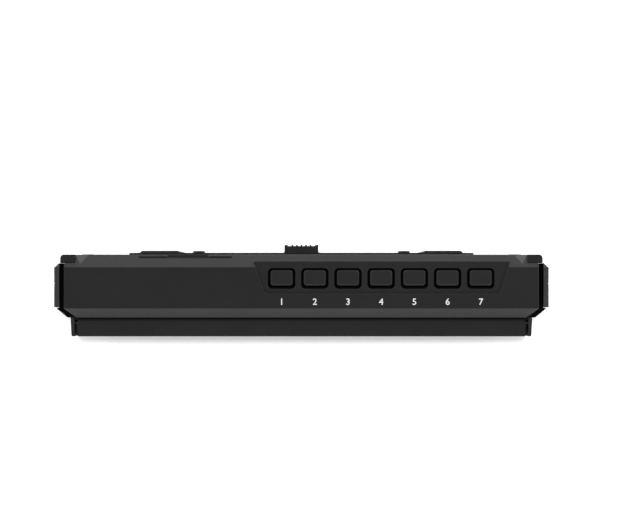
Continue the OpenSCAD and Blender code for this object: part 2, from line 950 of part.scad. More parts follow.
module board_screws() {
    color("#b9bbbd") place() board_corners() difference() {
        union() {
            rod_y(0, 0, board_screw_r, chassis_y + fit_gap, board_back + eps);
            rod_y(0, 0, head_r, board_back, board_back + board_head_h);
        }
        cross_slot(0, 0, board_back + board_head_h);
    }
}

// The larger chips on the back of the main board. Each row gives the place as shares of the
// standoffs' places, then the width and height as shares of the largest chip
module board_chips() {
    chips = [
        [-0.75, 0.26, 1, 1], [-0.2, -0.46, 0.86, 0.86], [0.3, 0.5, 0.64, 0.5],
        [0.8, -0.22, 0.7, 0.7], [1.15, 0.66, 0.43, 0.36]];
    color("#1b1b1d") place()
        for (c = chips)
            translate([c[0] * standoff_x - c[2] * chip_w / 2, board_back,
                mid_z + c[1] * standoff_z - c[3] * chip_w / 2])
                cube([c[2] * chip_w, chip_t, c[3] * chip_w]);
}

// Flat ribbon from the display to the front of the main board
module display_ribbon() {
    color("#b8762b") place()
        block(-ribbon_w / 2, ribbon_w / 2, chassis_y + chassis_t, board_y,
            mid_z - ribbon_drop - ribbon_h / 2, mid_z - ribbon_drop + ribbon_h / 2);
}

module key_board() {
    color("#1d4a2c") place() difference() {
        block(recess_x0, recess_x1, key_y - key_board_front, key_y + key_board_rear, key_board_z,
            key_board_z + key_board_t);
        for (i = [0:key_count - 2])
            rod_z(first_key_x + (i + 0.5) * key_pitch, key_y, key_board_hole_r, key_board_z - 1,
                key_board_z + key_board_t + 1);
    }
}

// One small press switch under each key
module key_switches() {
    color("#8b8d90") place()
        for (i = [0:key_count - 1]) translate([first_key_x + i * key_pitch, key_y, 0]) {
            block(-switch_half, switch_half, -switch_half, switch_half, key_board_z + key_board_t,
                switch_top - plunger_h);
            rod_z(0, 0, plunger_r, switch_top - plunger_h - eps, switch_top);
        }
}

// Key with a bevelled cap, a flange that holds it in and a stem over its switch
module key_at(i) {
    w = well_w - 2 * key_gap;
    d = well_d - 2 * key_gap;
    color("#242426") place() translate([first_key_x + i * key_pitch, key_y, 0]) {
        hull() {
            key_layer(key_under - move_gap, w, d, key_r);
            key_layer(floor_z - key_edge - layer_t, w, d, key_r);
            key_layer(floor_z + key_rise - layer_t, w - 2 * key_bevel_x, d - 2 * key_bevel_y,
                key_top_r);
        }
        translate([0, 0, key_under - move_gap - flange_t]) linear_extrude(flange_t + eps)
            rounded(well_w + 2 * flange_lap, d, key_r);
        block(-stem_half, stem_half, -stem_half, stem_half, stem_z,
            key_under - move_gap - flange_t + eps);
    }
}

module key_layer(z, w, d, r) {
    translate([0, 0, z]) linear_extrude(layer_t) rounded(w, d, r);
}

module left_key() { key_at(0); }
module right_key() { key_at(1); }
module menu_key() { key_at(2); }
module first_function_key() { key_at(3); }
module second_function_key() { key_at(4); }
module third_function_key() { key_at(5); }
module power_key() { key_at(6); }

// Sockets in the bottom and the sides

module outlet_body() {
    color("#1a1a1c") place() difference() {
        union() {
            rod_z(outlet_x, outlet_y, outlet_r + outlet_wall, outlet_sink, outlet_end);
            block(outlet_x - outlet_seat_half, outlet_x + outlet_seat_half, board_back, outlet_y,
                outlet_seat_z0, outlet_seat_z1);
        }
        rod_z(outlet_x, outlet_y, outlet_r, -1, outlet_l);
    }
}

module outlet_pin() {
    color("#c9cacb") place() {
        rod_z(outlet_x, outlet_y, outlet_pin_r, outlet_pin_z, outlet_l);
        translate([outlet_x, outlet_y, outlet_pin_z]) sphere(outlet_pin_r);
    }
}

module headphone_socket() {
    color("#151517") place() difference() {
        union() {
            rod_z(phones_x, phones_y, phones_r + phones_wall, phones_sink, wall + 2 * fit_gap);
            block(phones_x - phones_half, phones_x + phones_half, board_back,
                phones_y + phones_back, wall + fit_gap, phones_l + 1);
        }
        rod_z(phones_x, phones_y, phones_r, -1, phones_l);
    }
}

module charging_shell() {
    color("#c4c6c8") place() {
        difference() {
            soft_plate(usb_x, usb_y, usb_w, usb_d, usb_r, usb_sink, usb_l);
            soft_plate(usb_x, usb_y, usb_w - 2 * usb_t, usb_d - 2 * usb_t, usb_r - usb_t, -1,
                usb_l - usb_floor);
        }
        // Legs on the main board
        for (s = [-1, 1])
            block(usb_x + s * usb_leg_x - usb_leg_half, usb_x + s * usb_leg_x + usb_leg_half,
                board_back, usb_y - usb_d / 2 + usb_t / 2, usb_leg_z, usb_leg_z + usb_leg_h);
    }
}

module charging_tongue() {
    color("#8d8f92") place()
        soft_plate(usb_x, usb_y, tongue_w, tongue_d, 0.4 * tongue_d, tongue_z, usb_l - usb_floor);
}

// Video socket: a metal shell with a tongue, with its mouth on the left side
module video_socket(z) {
    x0 = -overall_half_w + video_sink;
    difference() {
        block(x0, x0 + video_len, board_back, video_y + socket_h / 2, z - video_half_h,
            z + video_half_h);
        along_x(x0 - 1, x0 + video_depth)
            polygon([
                [video_y - cavity_half_w, z - cavity_half_h],
                [video_y + cavity_half_w - cavity_bevel, z - cavity_half_h],
                [video_y + cavity_half_w, z - cavity_half_h + cavity_bevel / 2],
                [video_y + cavity_half_w, z + cavity_half_h - cavity_bevel / 2],
                [video_y + cavity_half_w - cavity_bevel, z + cavity_half_h],
                [video_y - cavity_half_w, z + cavity_half_h]]);
    }
    block(x0 + 1, x0 + video_depth + eps, video_y - video_tongue_t / 2,
        video_y + video_tongue_t / 2, z - video_tongue_half, z + video_tongue_half);
}

module video_input_socket() {
    color("#b9bbbd") place() video_socket(mid_z + video_z);
}

module video_output_socket() {
    color("#b9bbbd") place() video_socket(mid_z - video_z);
}

// Threaded metal insert, shown with its thread's inner radius
module thread_insert() {
    x0 = overall_half_w - insert_sink;
    difference() {
        union() {
            rod_x(thread_y, mid_z, insert_r, x0 - insert_l, x0);
            rod_x(thread_y, mid_z, insert_r + insert_flange, x0 - insert_l, half_w - wall);
        }
        rod_x(thread_y, mid_z, thread_r, x0 - insert_l + insert_floor, x0 + 1);
        rod_x(thread_y, mid_z, mouth_r, x0 - mouth_l, x0 + 1);
    }
}

module left_thread_insert() {
    color("#b0b2b4") place() mirror([1, 0, 0]) thread_insert();
}

module right_thread_insert() {
    color("#b0b2b4") place() thread_insert();
}

// Battery plate and release latch

module battery_plate() {
    side = bay_half_w + tray_t;
    color("#232325") place() difference() {
        union() {
            difference() {
                block(-plate_w / 2, plate_w / 2, case_d, plate_face, plate_z0, plate_z1);
                for (s = [-1, 1], z = [plate_z0, plate_z1])
                    translate([s * plate_w / 2, case_d - 1, z]) rotate([0, 45, 0])
                        cube(plate_corner, center = true);
            }
            // Tray of the battery bay, sunk into the case
            block(-side, side, bay_floor - tray_t, case_d + eps, plate_z0, bay_z1 + tray_t);
            // Hooks at the bottom edge
            both_sides() block(hook_x, hook_x + hook_w, case_d - hook_in, plate_face, hook_z,
                plate_z0 + eps);
        }
        block(-bay_half_w, bay_half_w, bay_floor, plate_face - lip_t, bay_z0, bay_z1);
        block(-bay_half_w + lip_w, bay_half_w - lip_w, bay_floor, plate_face + 1, bay_z0, bay_z1);
        // Entry notches in the lips
        for (s = [-1, 1], z = [entry_z, entry_z + entry_pitch])
            block(s * (bay_half_w - lip_w / 2) - lip_w / 2 - eps,
                s * (bay_half_w - lip_w / 2) + lip_w / 2 + eps, bay_floor, plate_face + 1,
                z, z + entry_h);
        // Seat of the contact block
        block(-contact_half_w - fit_gap, contact_half_w + fit_gap, bay_floor - tray_t - 1,
            bay_floor + 1, bay_z1 - contact_drop - contact_h - fit_gap,
            bay_z1 - contact_drop + fit_gap);
        block(-catch_w / 2 - move_gap, catch_w / 2 + move_gap, case_d - 1, plate_face + 1,
            catch_z - catch_h / 2 - move_gap, catch_z + catch_h / 2 + move_gap);
        plate_screw_places() rod_y(0, 0, plate_screw_r + fit_gap, case_d - 1, plate_face + 1);
    }
}

module plate_screws() {
    color("#3a3a3d") place() plate_screw_places() difference() {
        union() {
            rod_y(0, 0, plate_screw_r, case_d - wall - plate_screw_l, plate_face + eps);
            rod_y(0, 0, head_r, plate_face, plate_face + plate_head_h);
        }
        cross_slot(0, 0, plate_face + plate_head_h);
    }
}

// Cross recess in a screw head whose face is at y
module cross_slot(x, z, y) {
    block(x - cross_r, x + cross_r, y - cross_t, y + 1, z - cross_half, z + cross_half);
    block(x - cross_half, x + cross_half, y - cross_t, y + 1, z - cross_r, z + cross_r);
}

module case_screws() {
    head_y = case_d - head_sink;
    color("#3a3a3d") place()
        for (s = [-1, 1], z = [screw_z, case_h - screw_z]) difference() {
            union() {
                rod_y(s * screw_x, z, screw_core_r, screw_y0, post_y);
                rod_y(s * screw_x, z, screw_r, post_y - eps, head_y + eps);
                rod_y(s * screw_x, z, head_r, head_y, case_d - head_low);
            }
            cross_slot(s * screw_x, z, case_d - head_low);
        }
}

// Two long pads with slanted edges on the plate
module rubber_pads() {
    color("#2d2d2f") place() both_sides() translate([pad_x, plate_face, 0])
        linear_extrude_z(pad_z0, pad_z1)
            polygon([
                [-pad_w / 2, 0], [pad_w / 2, 0], [pad_w / 2 - pad_t, pad_t],
                [-pad_w / 2 + pad_t, pad_t]]);
}

module linear_extrude_z(z0, z1) {
    translate([0, 0, z0]) linear_extrude(z1 - z0) children();
}

module contact_block() {
    color("#151517") place() difference() {
        block(-contact_half_w, contact_half_w, bay_floor - tray_t - contact_back,
            bay_floor + contact_out, bay_z1 - contact_drop - contact_h, bay_z1 - contact_drop);
        for (x = [-blade_pitch, 0, blade_pitch])
            block(x - blade_room, x + blade_room, bay_floor - blade_sink, bay_floor + contact_out + 1,
                bay_z1 - contact_drop - contact_h - 1, bay_z1 - blade_drop);
    }
}

module contact_blades() {
    color("#c9a24a") place()
        for (x = [-blade_pitch, 0, blade_pitch])
            block(x - blade_half, x + blade_half, bay_floor - blade_sink, bay_floor + blade_out,
                bay_z1 - blade_drop - blade_l, bay_z1 - blade_drop);
}

// Thumb slide with upright ribs, a shank through the case and a keeper inside
module release_slide() {
    z0 = slide_z - slide_h / 2;
    z1 = slide_z + slide_h / 2;
    rib_y = slide_top - rib_h;
    color("#1f1f21") place() {
        // Body with a flared foot
        linear_extrude_z(z0, z1)
            polygon([
                [-slide_w / 2 - flare, case_d + move_gap], [slide_w / 2 + flare, case_d + move_gap],
                [slide_w / 2, case_d + flare_h], [slide_w / 2, rib_y], [-slide_w / 2, rib_y],
                [-slide_w / 2, case_d + flare_h]]);
        both_sides() block(slide_w / 2 - end_rib, slide_w / 2, rib_y - eps, slide_top, z0, z1);
        for (i = [-2:2])
            block(i * rib_pitch - rib_half, i * rib_pitch + rib_half, rib_y - eps, slide_top, z0, z1);
        block(-shank_w / 2, shank_w / 2, case_d - wall - shank_in, case_d + move_gap + eps,
            slide_z - shank_h / 2, slide_z + shank_h / 2);
        block(-keeper_half, keeper_half, case_d - wall - keeper_t, case_d - wall - move_gap,
            slide_z - keeper_low, slide_z - keeper_low + keeper_h);
    }
}

// Bent leaf spring that pushes the slide back
module release_spring() {
    x0 = keeper_half + slide_travel + spring_gap;
    y1 = case_d - wall - fit_gap;
    color("#9fa2a5") place() {
        block(x0, x0 + spring_t, y1 - spring_h, y1, slide_z - spring_half, slide_z + spring_half);
        block(x0, x0 + spring_l, y1 - spring_t, y1, slide_z - spring_half, slide_z + spring_half);
    }
}

// Tooth that locks the battery and draws in when the slide moves
module battery_catch() {
    y0 = case_d - wall - catch_in;
    y1 = plate_face + catch_out;
    color("#3f4042") place() {
        along_x(-catch_w / 2, catch_w / 2)
            polygon([
                [y0, catch_z - catch_h / 2], [y1 - catch_out, catch_z - catch_h / 2],
                [y1, catch_z + catch_h / 2 - catch_bevel], [y1, catch_z + catch_h / 2],
                [y0, catch_z + catch_h / 2]]);
        block(-catch_w / 2 - catch_base_lap, catch_w / 2 + catch_base_lap, y0 - catch_base,
            y0 + eps, catch_z - catch_base_half, catch_z + catch_base_half);
    }
}

// Sun hood

// Side wall of the hood, seen from above
module hood_side_shape() {
    polygon([
        [side_in, -hood_base_t + eps], [side_in, -(hood_d - side_sink)],
        [side_in + side_slant, -(hood_d - side_sink)], [hood_half_w - hood_edge_x, -hood_d],
        [hood_half_w - hood_edge_x / 2, -(hood_d - hood_edge_y)],
        [hood_half_w, -hood_base_t], [hood_half_w, -hood_base_t + eps]]);
}

module hood_rim_shape() {
    polygon([
        [rim_x, -hood_base_t + eps], [rim_x, -hood_d],
        [hood_half_w - hood_edge_x, -hood_d],
        [hood_half_w - hood_edge_x / 2, -(hood_d - hood_edge_y)],
        [hood_half_w, -hood_base_t], [hood_half_w, -hood_base_t + eps]]);
}

module hood_frame() {
    color("#262628") place() {
        difference() {
            union() {
                block(-hood_half_w, hood_half_w, -hood_base_t, 0, hood_z0, window_z1 + window_rim);
                both_sides() {
                    linear_extrude_z(hood_z0, rail_z0 - barrel_gap) hood_side_shape();
                    linear_extrude_z(rail_z0 - barrel_gap - eps, hood_z1) hood_rim_shape();
                    block(rim_x, hood_half_w, -hood_base_t, 0, window_z1, hood_z1);
                    wing_lug(lug_z0);
                    wing_lug(wing_z1 + move_gap);
                }
            }
            block(-window_half_w, window_half_w, -hood_base_t - 1, 1,
                window_z0, window_z1);
            both_sides() rod_x(hinge_y, hinge_z, pin_r, rim_x - 1, hood_half_w + 1);
            both_sides() rod_z(wing_x, wing_y, pin_r, lug_z0 - 1, wing_z1 + lug_h + 1);
        }
        hood_clip_blocks(0);
    }
}

// Lug that holds one end of a wing's pin
module wing_lug(z0) {
    block(wing_x - wing_barrel_r, side_in + eps, wing_y - wing_barrel_r, -hood_base_t + eps,
        z0, z0 + lug_h);
}

module visor() {
    color("#2a2a2c") place() difference() {
        union() {
            // Plate and bottom lip
            block(-visor_half_w, visor_half_w, -visor_face, -visor_in, lip_z0, rail_z0 + 1);
            block(-visor_half_w, visor_half_w, -visor_face, -hood_base_t - move_gap, lip_z0,
                lip_z0 + visor_t);
            // Hinge rail along the top
            block(-rail_half_w, rail_half_w, -hood_d, -visor_in, rail_z0, hood_z1);
            block(-rail_half_w, rail_half_w, -hood_d, hinge_y, hood_z1 - rail_lip, hood_z1);
            rod_x(hinge_y, hinge_z, visor_barrel_r, -rail_half_w, rail_half_w);
            // Ribs under the plate's middle
            both_sides() block(visor_rib_x - visor_rib_half, visor_rib_x + visor_rib_half,
                -visor_in - eps, -visor_in + visor_rib_h, lip_z0 + visor_t, rail_z0);
        }
        both_sides() rod_x(hinge_y, hinge_z, pin_r + pin_gap, rail_half_w - hinge_pin_l - 0.4,
            rail_half_w + 1);
    }
}

module visor_pins() {
    color("#9b9da0") place() both_sides()
        rod_x(hinge_y, hinge_z, pin_r, rail_half_w - hinge_pin_l, hood_half_w - hood_edge_x);
}

module wing() {
    difference() {
        union() {
            translate([0, wing_y, 0]) rotate([90, 0, 0])
                translate([0, 0, -wing_t / 2]) linear_extrude(wing_t)
                    polygon([
                        [wing_x, wing_z0], [wing_x - wing_w, wing_z0],
                        [wing_x - wing_w, wing_full_z], [wing_x - wing_top_w, wing_z1],
                        [wing_x, wing_z1]]);
            rod_z(wing_x, wing_y, wing_barrel_r, wing_z0, wing_z1);
        }
        rod_z(wing_x, wing_y, pin_r + pin_gap, wing_z0 - 1, wing_z1 + 1);
    }
}

module left_wing() {
    color("#232325") place() mirror([1, 0, 0]) wing();
}

module right_wing() {
    color("#232325") place() wing();
}

module wing_pins() {
    color("#9b9da0") place() both_sides()
        rod_z(wing_x, wing_y, pin_r, lug_z0 + fit_gap, wing_z1 + move_gap + lug_h - fit_gap);
}

front_bezel();
rear_shell();
left_side_spacer();
right_side_spacer();
left_side_cap();
right_side_cap();
corner_feet();
cover_glass();
display_panel();
backlight_unit();
chassis_plate();
main_board();
board_screws();
board_chips();
display_ribbon();
key_board();
key_switches();
left_key();
right_key();
menu_key();
first_function_key();
second_function_key();
third_function_key();
power_key();
outlet_body();
outlet_pin();
headphone_socket();
charging_shell();
charging_tongue();
video_input_socket();
video_output_socket();
left_thread_insert();
right_thread_insert();
battery_plate();
plate_screws();
rubber_pads();
contact_block();
contact_blades();
release_slide();
release_spring();
battery_catch();
case_screws();
hood_frame();
visor();
visor_pins();
left_wing();
right_wing();
wing_pins();
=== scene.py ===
"""Looks of a camera field monitor with a fold-out sun hood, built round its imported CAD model.

Every piece is in metres in the CAD frame: X to the right, Y from the screen to the back, Z up. The
monitor stands on its bottom edge.
"""

import json
import math

import bmesh
import bpy
from mathutils import Matrix, Vector
from mathutils.bvhtree import BVHTree

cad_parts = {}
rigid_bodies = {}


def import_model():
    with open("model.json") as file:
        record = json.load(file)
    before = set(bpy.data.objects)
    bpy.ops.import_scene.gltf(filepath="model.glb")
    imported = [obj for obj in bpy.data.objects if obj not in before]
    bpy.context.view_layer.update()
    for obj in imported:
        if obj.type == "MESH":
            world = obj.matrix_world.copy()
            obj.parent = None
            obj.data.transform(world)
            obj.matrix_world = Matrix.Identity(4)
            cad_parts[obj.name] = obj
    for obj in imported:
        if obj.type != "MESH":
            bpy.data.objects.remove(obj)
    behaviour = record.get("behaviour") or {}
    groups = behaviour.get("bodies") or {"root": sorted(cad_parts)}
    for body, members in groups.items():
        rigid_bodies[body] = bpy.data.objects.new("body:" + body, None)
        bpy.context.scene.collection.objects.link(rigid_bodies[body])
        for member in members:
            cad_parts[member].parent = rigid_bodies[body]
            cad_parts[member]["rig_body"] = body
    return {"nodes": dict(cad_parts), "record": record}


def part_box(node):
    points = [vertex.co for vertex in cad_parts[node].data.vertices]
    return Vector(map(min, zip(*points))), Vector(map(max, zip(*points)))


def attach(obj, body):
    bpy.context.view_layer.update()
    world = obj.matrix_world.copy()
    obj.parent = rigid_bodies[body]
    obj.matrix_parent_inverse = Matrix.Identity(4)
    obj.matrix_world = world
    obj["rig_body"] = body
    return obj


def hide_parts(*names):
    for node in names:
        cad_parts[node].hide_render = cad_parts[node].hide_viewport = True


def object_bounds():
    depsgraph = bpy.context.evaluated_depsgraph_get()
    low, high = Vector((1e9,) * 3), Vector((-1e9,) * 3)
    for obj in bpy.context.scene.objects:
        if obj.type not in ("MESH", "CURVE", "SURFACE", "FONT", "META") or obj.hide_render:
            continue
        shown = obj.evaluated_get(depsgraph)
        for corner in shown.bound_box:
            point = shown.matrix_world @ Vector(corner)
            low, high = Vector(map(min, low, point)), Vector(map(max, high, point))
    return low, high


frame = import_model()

bl_info = {
    "name": "Field Monitor Dresser",
    "version": (1, 0, 0),
    "blender": (4, 5, 0),
    "location": "3D View > Sidebar > Monitor",
    "description": "Builds the finished pieces, finishes and stage of a camera field monitor",
    "category": "Object",
}

MM = 0.001
CAD_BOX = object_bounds()
CASE_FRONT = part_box("front_bezel")[0].y
SLOTS = {part["node"]: part["material_slot"] for part in frame["record"]["subparts"]}
KEYS = (
    "left_key", "right_key", "menu_key", "first_function_key",
    "second_function_key", "third_function_key", "power_key",
)


# Settings


def number(name, description, default, **options):
    return bpy.props.FloatProperty(name=name, description=description, default=default, **options)


def length(name, description, millimetres, precision=5):
    return number(name, description, millimetres * MM, min=0, unit="LENGTH", precision=precision)


def colour(name, description, default):
    return bpy.props.FloatVectorProperty(
        name=name, description=description, default=default, size=3, min=0, max=1, subtype="COLOR")


class MonitorSizes(bpy.types.PropertyGroup):
    """Sizes that only the finished pieces have. The main sizes come from the CAD model."""

    case_edge: length("Case edge", "Radius of the rounded edges of the case", 0.28)
    parting_edge: length("Parting edge", "Radius of the edges along the case's parting line", 0.07)
    well_edge: length("Well edge", "Radius of the edges round the keys and sockets", 0.12)
    side_slope: length("Side slope", "Fall of the side walls' ends towards the outside", 0.5)
    hood_edge: length("Hood edge", "Radius of the edges of the hood, side caps and feet", 0.2)
    small_edge: length("Small edge", "Radius of the edges of screws, sockets and the latch", 0.1)
    thin_edge: length("Thin edge", "Radius of the edges of pressed contacts and springs", 0.06)
    key_dish: length("Key dish", "Depth of the hollow in the top of a key", 0.07)
    mark_height: length("Mark height", "Height of the printed numbers", 2.0)
    mark_depth: length("Mark thickness", "Thickness of the printed numbers and marks", 0.01, 6)
    thread_pitch: length("Thread pitch", "Pitch of the thread in the side inserts", 1.27)
    thread_depth: length("Thread depth", "Depth of the thread in the side inserts", 0.55)


class MonitorColours(bpy.types.PropertyGroup):
    """Base colours of the finishes."""

    case: colour("Case", "Moulded plastic of the case", (0.0112, 0.0111, 0.0118))
    cap: colour("Side caps", "Moulded plastic of the side caps", (0.026, 0.0258, 0.027))
    hood: colour("Hood", "Moulded plastic of the hood", (0.0110, 0.0109, 0.0116))
    key: colour("Keys", "Moulded plastic of the keys", (0.0125, 0.0125, 0.013))
    latch: colour("Latch", "Moulded plastic of the release slide", (0.0115, 0.0115, 0.012))
    # The spacers are rubber strips of the part; their near black tone, far darker than the case, is
    # also painted shade that keeps the groove behind the side caps as dark as its shade.
    spacer: colour("Spacers", "Rubber between case and side caps", (0.0012, 0.0012, 0.0013))
    pad: colour("Pads", "Rubber of the pads and feet", (0.011, 0.011, 0.0115))
    mark: colour("Marks", "Print of the numbers and marks", (0.62, 0.62, 0.62))
    steel: colour("Steel", "Plated steel of the sockets and pins", (0.62, 0.63, 0.64))
    gold: colour("Contacts", "Gold plated contacts", (0.79, 0.56, 0.24))
    board: colour("Boards", "Solder resist of the boards", (0.012, 0.075, 0.03))


class StageSettings(bpy.types.PropertyGroup):
    """Camera and light."""

    camera_height: number("Camera height", "Height of the camera over the top edge", 0.9,
                          min=0.2, unit="LENGTH")
    picture_width: length("Picture width", "Width that the picture takes in at the top edge", 193.2)
    picture_right: number("Room at the right", "Shift of the picture to the right, of its width",
                          0.0115, min=-0.5, max=0.5)
    picture_up: number("Room at the top", "Shift of the picture upwards, of its width", 0.026,
                       min=-0.5, max=0.5)
    camera_back: length("Camera to the back", "How far the camera is behind the middle", 3.0)
    zenith: number("Light from above", "Strength of the room's light overhead", 0.13,
                   min=0, max=1, subtype="FACTOR")
    horizon: number("Light from the sides", "Strength of the room's light round the horizon", 1.35,
                    min=0, max=2, subtype="FACTOR")
    lamp_power: number("Lamp power", "Power of the soft lamp overhead", 13.0, min=0, unit="POWER")
    floor_glow: number("Floor brightness", "Brightness that the floor keeps in a shadow", 0.2,
                       min=0, max=1, subtype="FACTOR")


def sizes():
    return bpy.context.scene.monitor_sizes


def stage_settings():
    return bpy.context.scene.monitor_stage


# Shader nodes and node groups


class Nodes:
    """Short ways to add nodes to a tree. A value is a socket, which is linked, or a constant."""

    def __init__(self, tree):
        self.tree = tree

    def feed(self, socket, value):
        if isinstance(value, bpy.types.NodeSocket):
            self.tree.links.new(value, socket)
        else:
            socket.default_value = value

    def add(self, kind, inputs=None, **settings):
        """Adds a node, feeds its inputs by name or number, and gives its outputs."""
        node = self.tree.nodes.new("ShaderNode" + kind)
        for label, value in settings.items():
            setattr(node, label, value)
        for label, value in (inputs or {}).items():
            self.feed(node.inputs[label], value)
        return node.outputs

    def place(self):
        """The place on the piece, in metres."""
        return self.add("TexCoord")["Object"]

    def math(self, operation, first, second, clamp=False):
        return self.add("Math", {0: first, 1: second}, operation=operation, use_clamp=clamp)[0]

    def times(self, first, second, clamp=False):
        return self.math("MULTIPLY", first, second, clamp)

    def ramp(self, value, low, high):
        """0 at low and below, 1 at high and above."""
        return self.add("MapRange", {"Value": value, "From Min": low, "From Max": high},
                        interpolation_type="SMOOTHSTEP")["Result"]

    def spread(self, value, low, high):
        """Stretches a 0 to 1 value to the range from low to high."""
        return self.add("MapRange", {"Value": value, "To Min": low, "To Max": high})["Result"]

    def noise(self, vector, scale, detail=2.0, roughness=0.5):
        return self.add("TexNoise", {
            "Vector": vector, "Scale": scale, "Detail": detail, "Roughness": roughness})["Fac"]

    def mix(self, factor, first, second):
        """A colour between two, which are colours or sockets."""
        first, second = (
            end if isinstance(end, bpy.types.NodeSocket) else (*end, 1.0)
            for end in (first, second))
        return self.add("Mix", {"Factor": factor, 6: first, 7: second}, data_type="RGBA")[2]

    def show(self, output, seen, hidden, shown):
        """Ends the tree in the shader shown where seen is 1, and in hidden elsewhere."""
        mixed = self.add("MixShader", {0: seen, 1: hidden, 2: shown})[0]
        self.feed(self.tree.nodes[output].inputs["Surface"], mixed)


def moulded_grain(nodes, grain, slow):
    """Fine spark-eroded grain of moulded plastic, with slow changes in tone over the part."""
    place = nodes.place()
    fine = nodes.noise(place, grain, 3.0, 0.6)
    coarse = nodes.noise(place, nodes.times(grain, 0.37), 1.0)
    height = nodes.math("ADD", nodes.times(fine, 0.65), nodes.times(coarse, 0.35))
    tone = nodes.noise(place, slow, 4.0, 0.55)
    return height, tone, nodes.noise(place, nodes.times(slow, 2.3), 3.0)


def edge_wear(nodes, amount, breaks):
    """Where a rounded edge is rubbed: the edge faces marked in the mesh, broken up by noise."""
    edge = nodes.add("Attribute", attribute_name="edge")["Fac"]
    broken = nodes.ramp(nodes.noise(nodes.place(), breaks, 5.0, 0.65), 0.42, 0.68)
    return [nodes.times(nodes.times(edge, broken), amount, True)]


def fine_dust(nodes, amount, specks):
    """Specks of dust, more of them on faces that look up."""
    place = nodes.place()
    cells = nodes.add("TexVoronoi", {"Vector": place, "Scale": specks})["Distance"]
    speck = nodes.math("SUBTRACT", 1.0, nodes.ramp(cells, 0.05, 0.16))
    chosen = nodes.ramp(nodes.noise(place, 240.0), 0.6, 0.72)
    up = nodes.add("SeparateXYZ", {0: nodes.add("NewGeometry")["Normal"]})["Z"]
    lie = nodes.math("ADD", 0.35, nodes.times(up, 0.65), True)
    return [nodes.times(nodes.times(nodes.times(speck, chosen), lie), amount, True)]


def drawn_metal(nodes, lines, stretch):
    """Fine lines of drawn or rolled metal, along X, with small stains."""
    place = nodes.place()
    parts = nodes.add("SeparateXYZ", {0: place})
    drawn = nodes.add("CombineXYZ", {
        "X": nodes.times(parts["X"], stretch), "Y": parts["Y"], "Z": parts["Z"]})[0]
    return nodes.noise(drawn, lines, 3.0), nodes.noise(place, 300.0, 4.0)


# Each group's maker, its inputs with their defaults, and its outputs
GROUPS = {
    "moulded_grain": (moulded_grain, {"Grain per metre": 3600, "Slow per metre": 60},
                      ("Height", "Tone", "Sheen")),
    "edge_wear": (edge_wear, {"Amount": 0.5, "Breaks per metre": 220}, ("Mask",)),
    "fine_dust": (fine_dust, {"Amount": 0.3, "Specks per metre": 900}, ("Mask",)),
    "drawn_metal": (drawn_metal, {"Lines per metre": 2600, "Stretch": 0.06}, ("Height", "Tone")),
}


def group(name):
    """A shader group by its name, built once."""
    if name in bpy.data.node_groups:
        return bpy.data.node_groups[name]
    maker, inputs, outputs = GROUPS[name]
    tree = bpy.data.node_groups.new(name, "ShaderNodeTree")
    for label, default in inputs.items():
        socket = tree.interface.new_socket(label, in_out="INPUT", socket_type="NodeSocketFloat")
        socket.default_value = default
    for label in outputs:
        tree.interface.new_socket(label, in_out="OUTPUT", socket_type="NodeSocketFloat")
    given, made = tree.nodes.new("NodeGroupInput"), tree.nodes.new("NodeGroupOutput")
    results = maker(Nodes(tree), *(given.outputs[label] for label in inputs))
    for label, result in zip(outputs, results):
        tree.links.new(result, made.inputs[label])
    return tree


# Finishes


class Finish(Nodes):
    """A material under construction: its shader, and short ways to add to it."""

    def __init__(self, name):
        self.material = bpy.data.materials.new(name)
        self.material.use_nodes = True
        super().__init__(self.material.node_tree)

    def add_group(self, name, **values):
        inputs = {label.replace("_", " "): value for label, value in values.items()}
        return self.add("Group", inputs, node_tree=group(name))

    def surface(self, tone, roughness, height=None, depth=0.0, **constants):
        """Feeds the shader. A height stands up by its depth in mm, constants hold all over."""
        shader = self.tree.nodes["Principled BSDF"]
        self.feed(shader.inputs["Base Color"], tone)
        self.feed(shader.inputs["Roughness"], roughness)
        if height is not None:
            bump = self.add("Bump", {"Height": height, "Distance": depth * MM, "Strength": 1.0})
            self.feed(shader.inputs["Normal"], bump["Normal"])
        for label, value in constants.items():
            shader.inputs[label.replace("_", " ")].default_value = value


def scaled(base, factor):
    return tuple(min(1.0, part * factor) for part in base)


def moulded_plastic(finish, base, roughness=(0.4, 0.5), grain=3600, depth=0.012, wear=0.35):
    """Satin plastic from a grained mould."""
    texture = finish.add_group("moulded_grain", Grain_per_metre=grain)
    worn = finish.add_group("edge_wear", Amount=wear)
    specks = finish.add_group("fine_dust", Amount=0.25)
    tone = finish.mix(texture["Tone"], scaled(base, 0.8), scaled(base, 1.2))
    tone = finish.mix(worn["Mask"], tone, scaled(base, 2.6))
    tone = finish.mix(specks["Mask"], tone, (0.16, 0.155, 0.15))
    finish.surface(tone, finish.spread(texture["Sheen"], *roughness), texture["Height"], depth,
                   Specular_IOR_Level=0.45, IOR=1.5)


def soft_rubber(finish, base, gloss=0.3):
    """Matt rubber with a dusty bloom."""
    texture = finish.add_group("moulded_grain", Grain_per_metre=2200, Slow_per_metre=90)
    specks = finish.add_group("fine_dust", Amount=0.4, Specks_per_metre=1100)
    tone = finish.mix(texture["Tone"], scaled(base, 0.75), scaled(base, 1.3))
    tone = finish.mix(specks["Mask"], tone, (0.12, 0.118, 0.114))
    finish.surface(tone, finish.spread(texture["Sheen"], 0.62, 0.8), texture["Height"], 0.02,
                   Specular_IOR_Level=gloss)


def plated_metal(finish, base, roughness=(0.22, 0.38), lines=2600):
    """Drawn or stamped metal with a plated face."""
    drawn = finish.add_group("drawn_metal", Lines_per_metre=lines)
    worn = finish.add_group("edge_wear", Amount=0.5, Breaks_per_metre=500)
    tone = finish.mix(drawn["Tone"], scaled(base, 0.78), scaled(base, 1.08))
    tone = finish.mix(worn["Mask"], tone, scaled(base, 1.3))
    finish.surface(tone, finish.spread(drawn["Tone"], *roughness), drawn["Height"], 0.003,
                   Metallic=1.0)


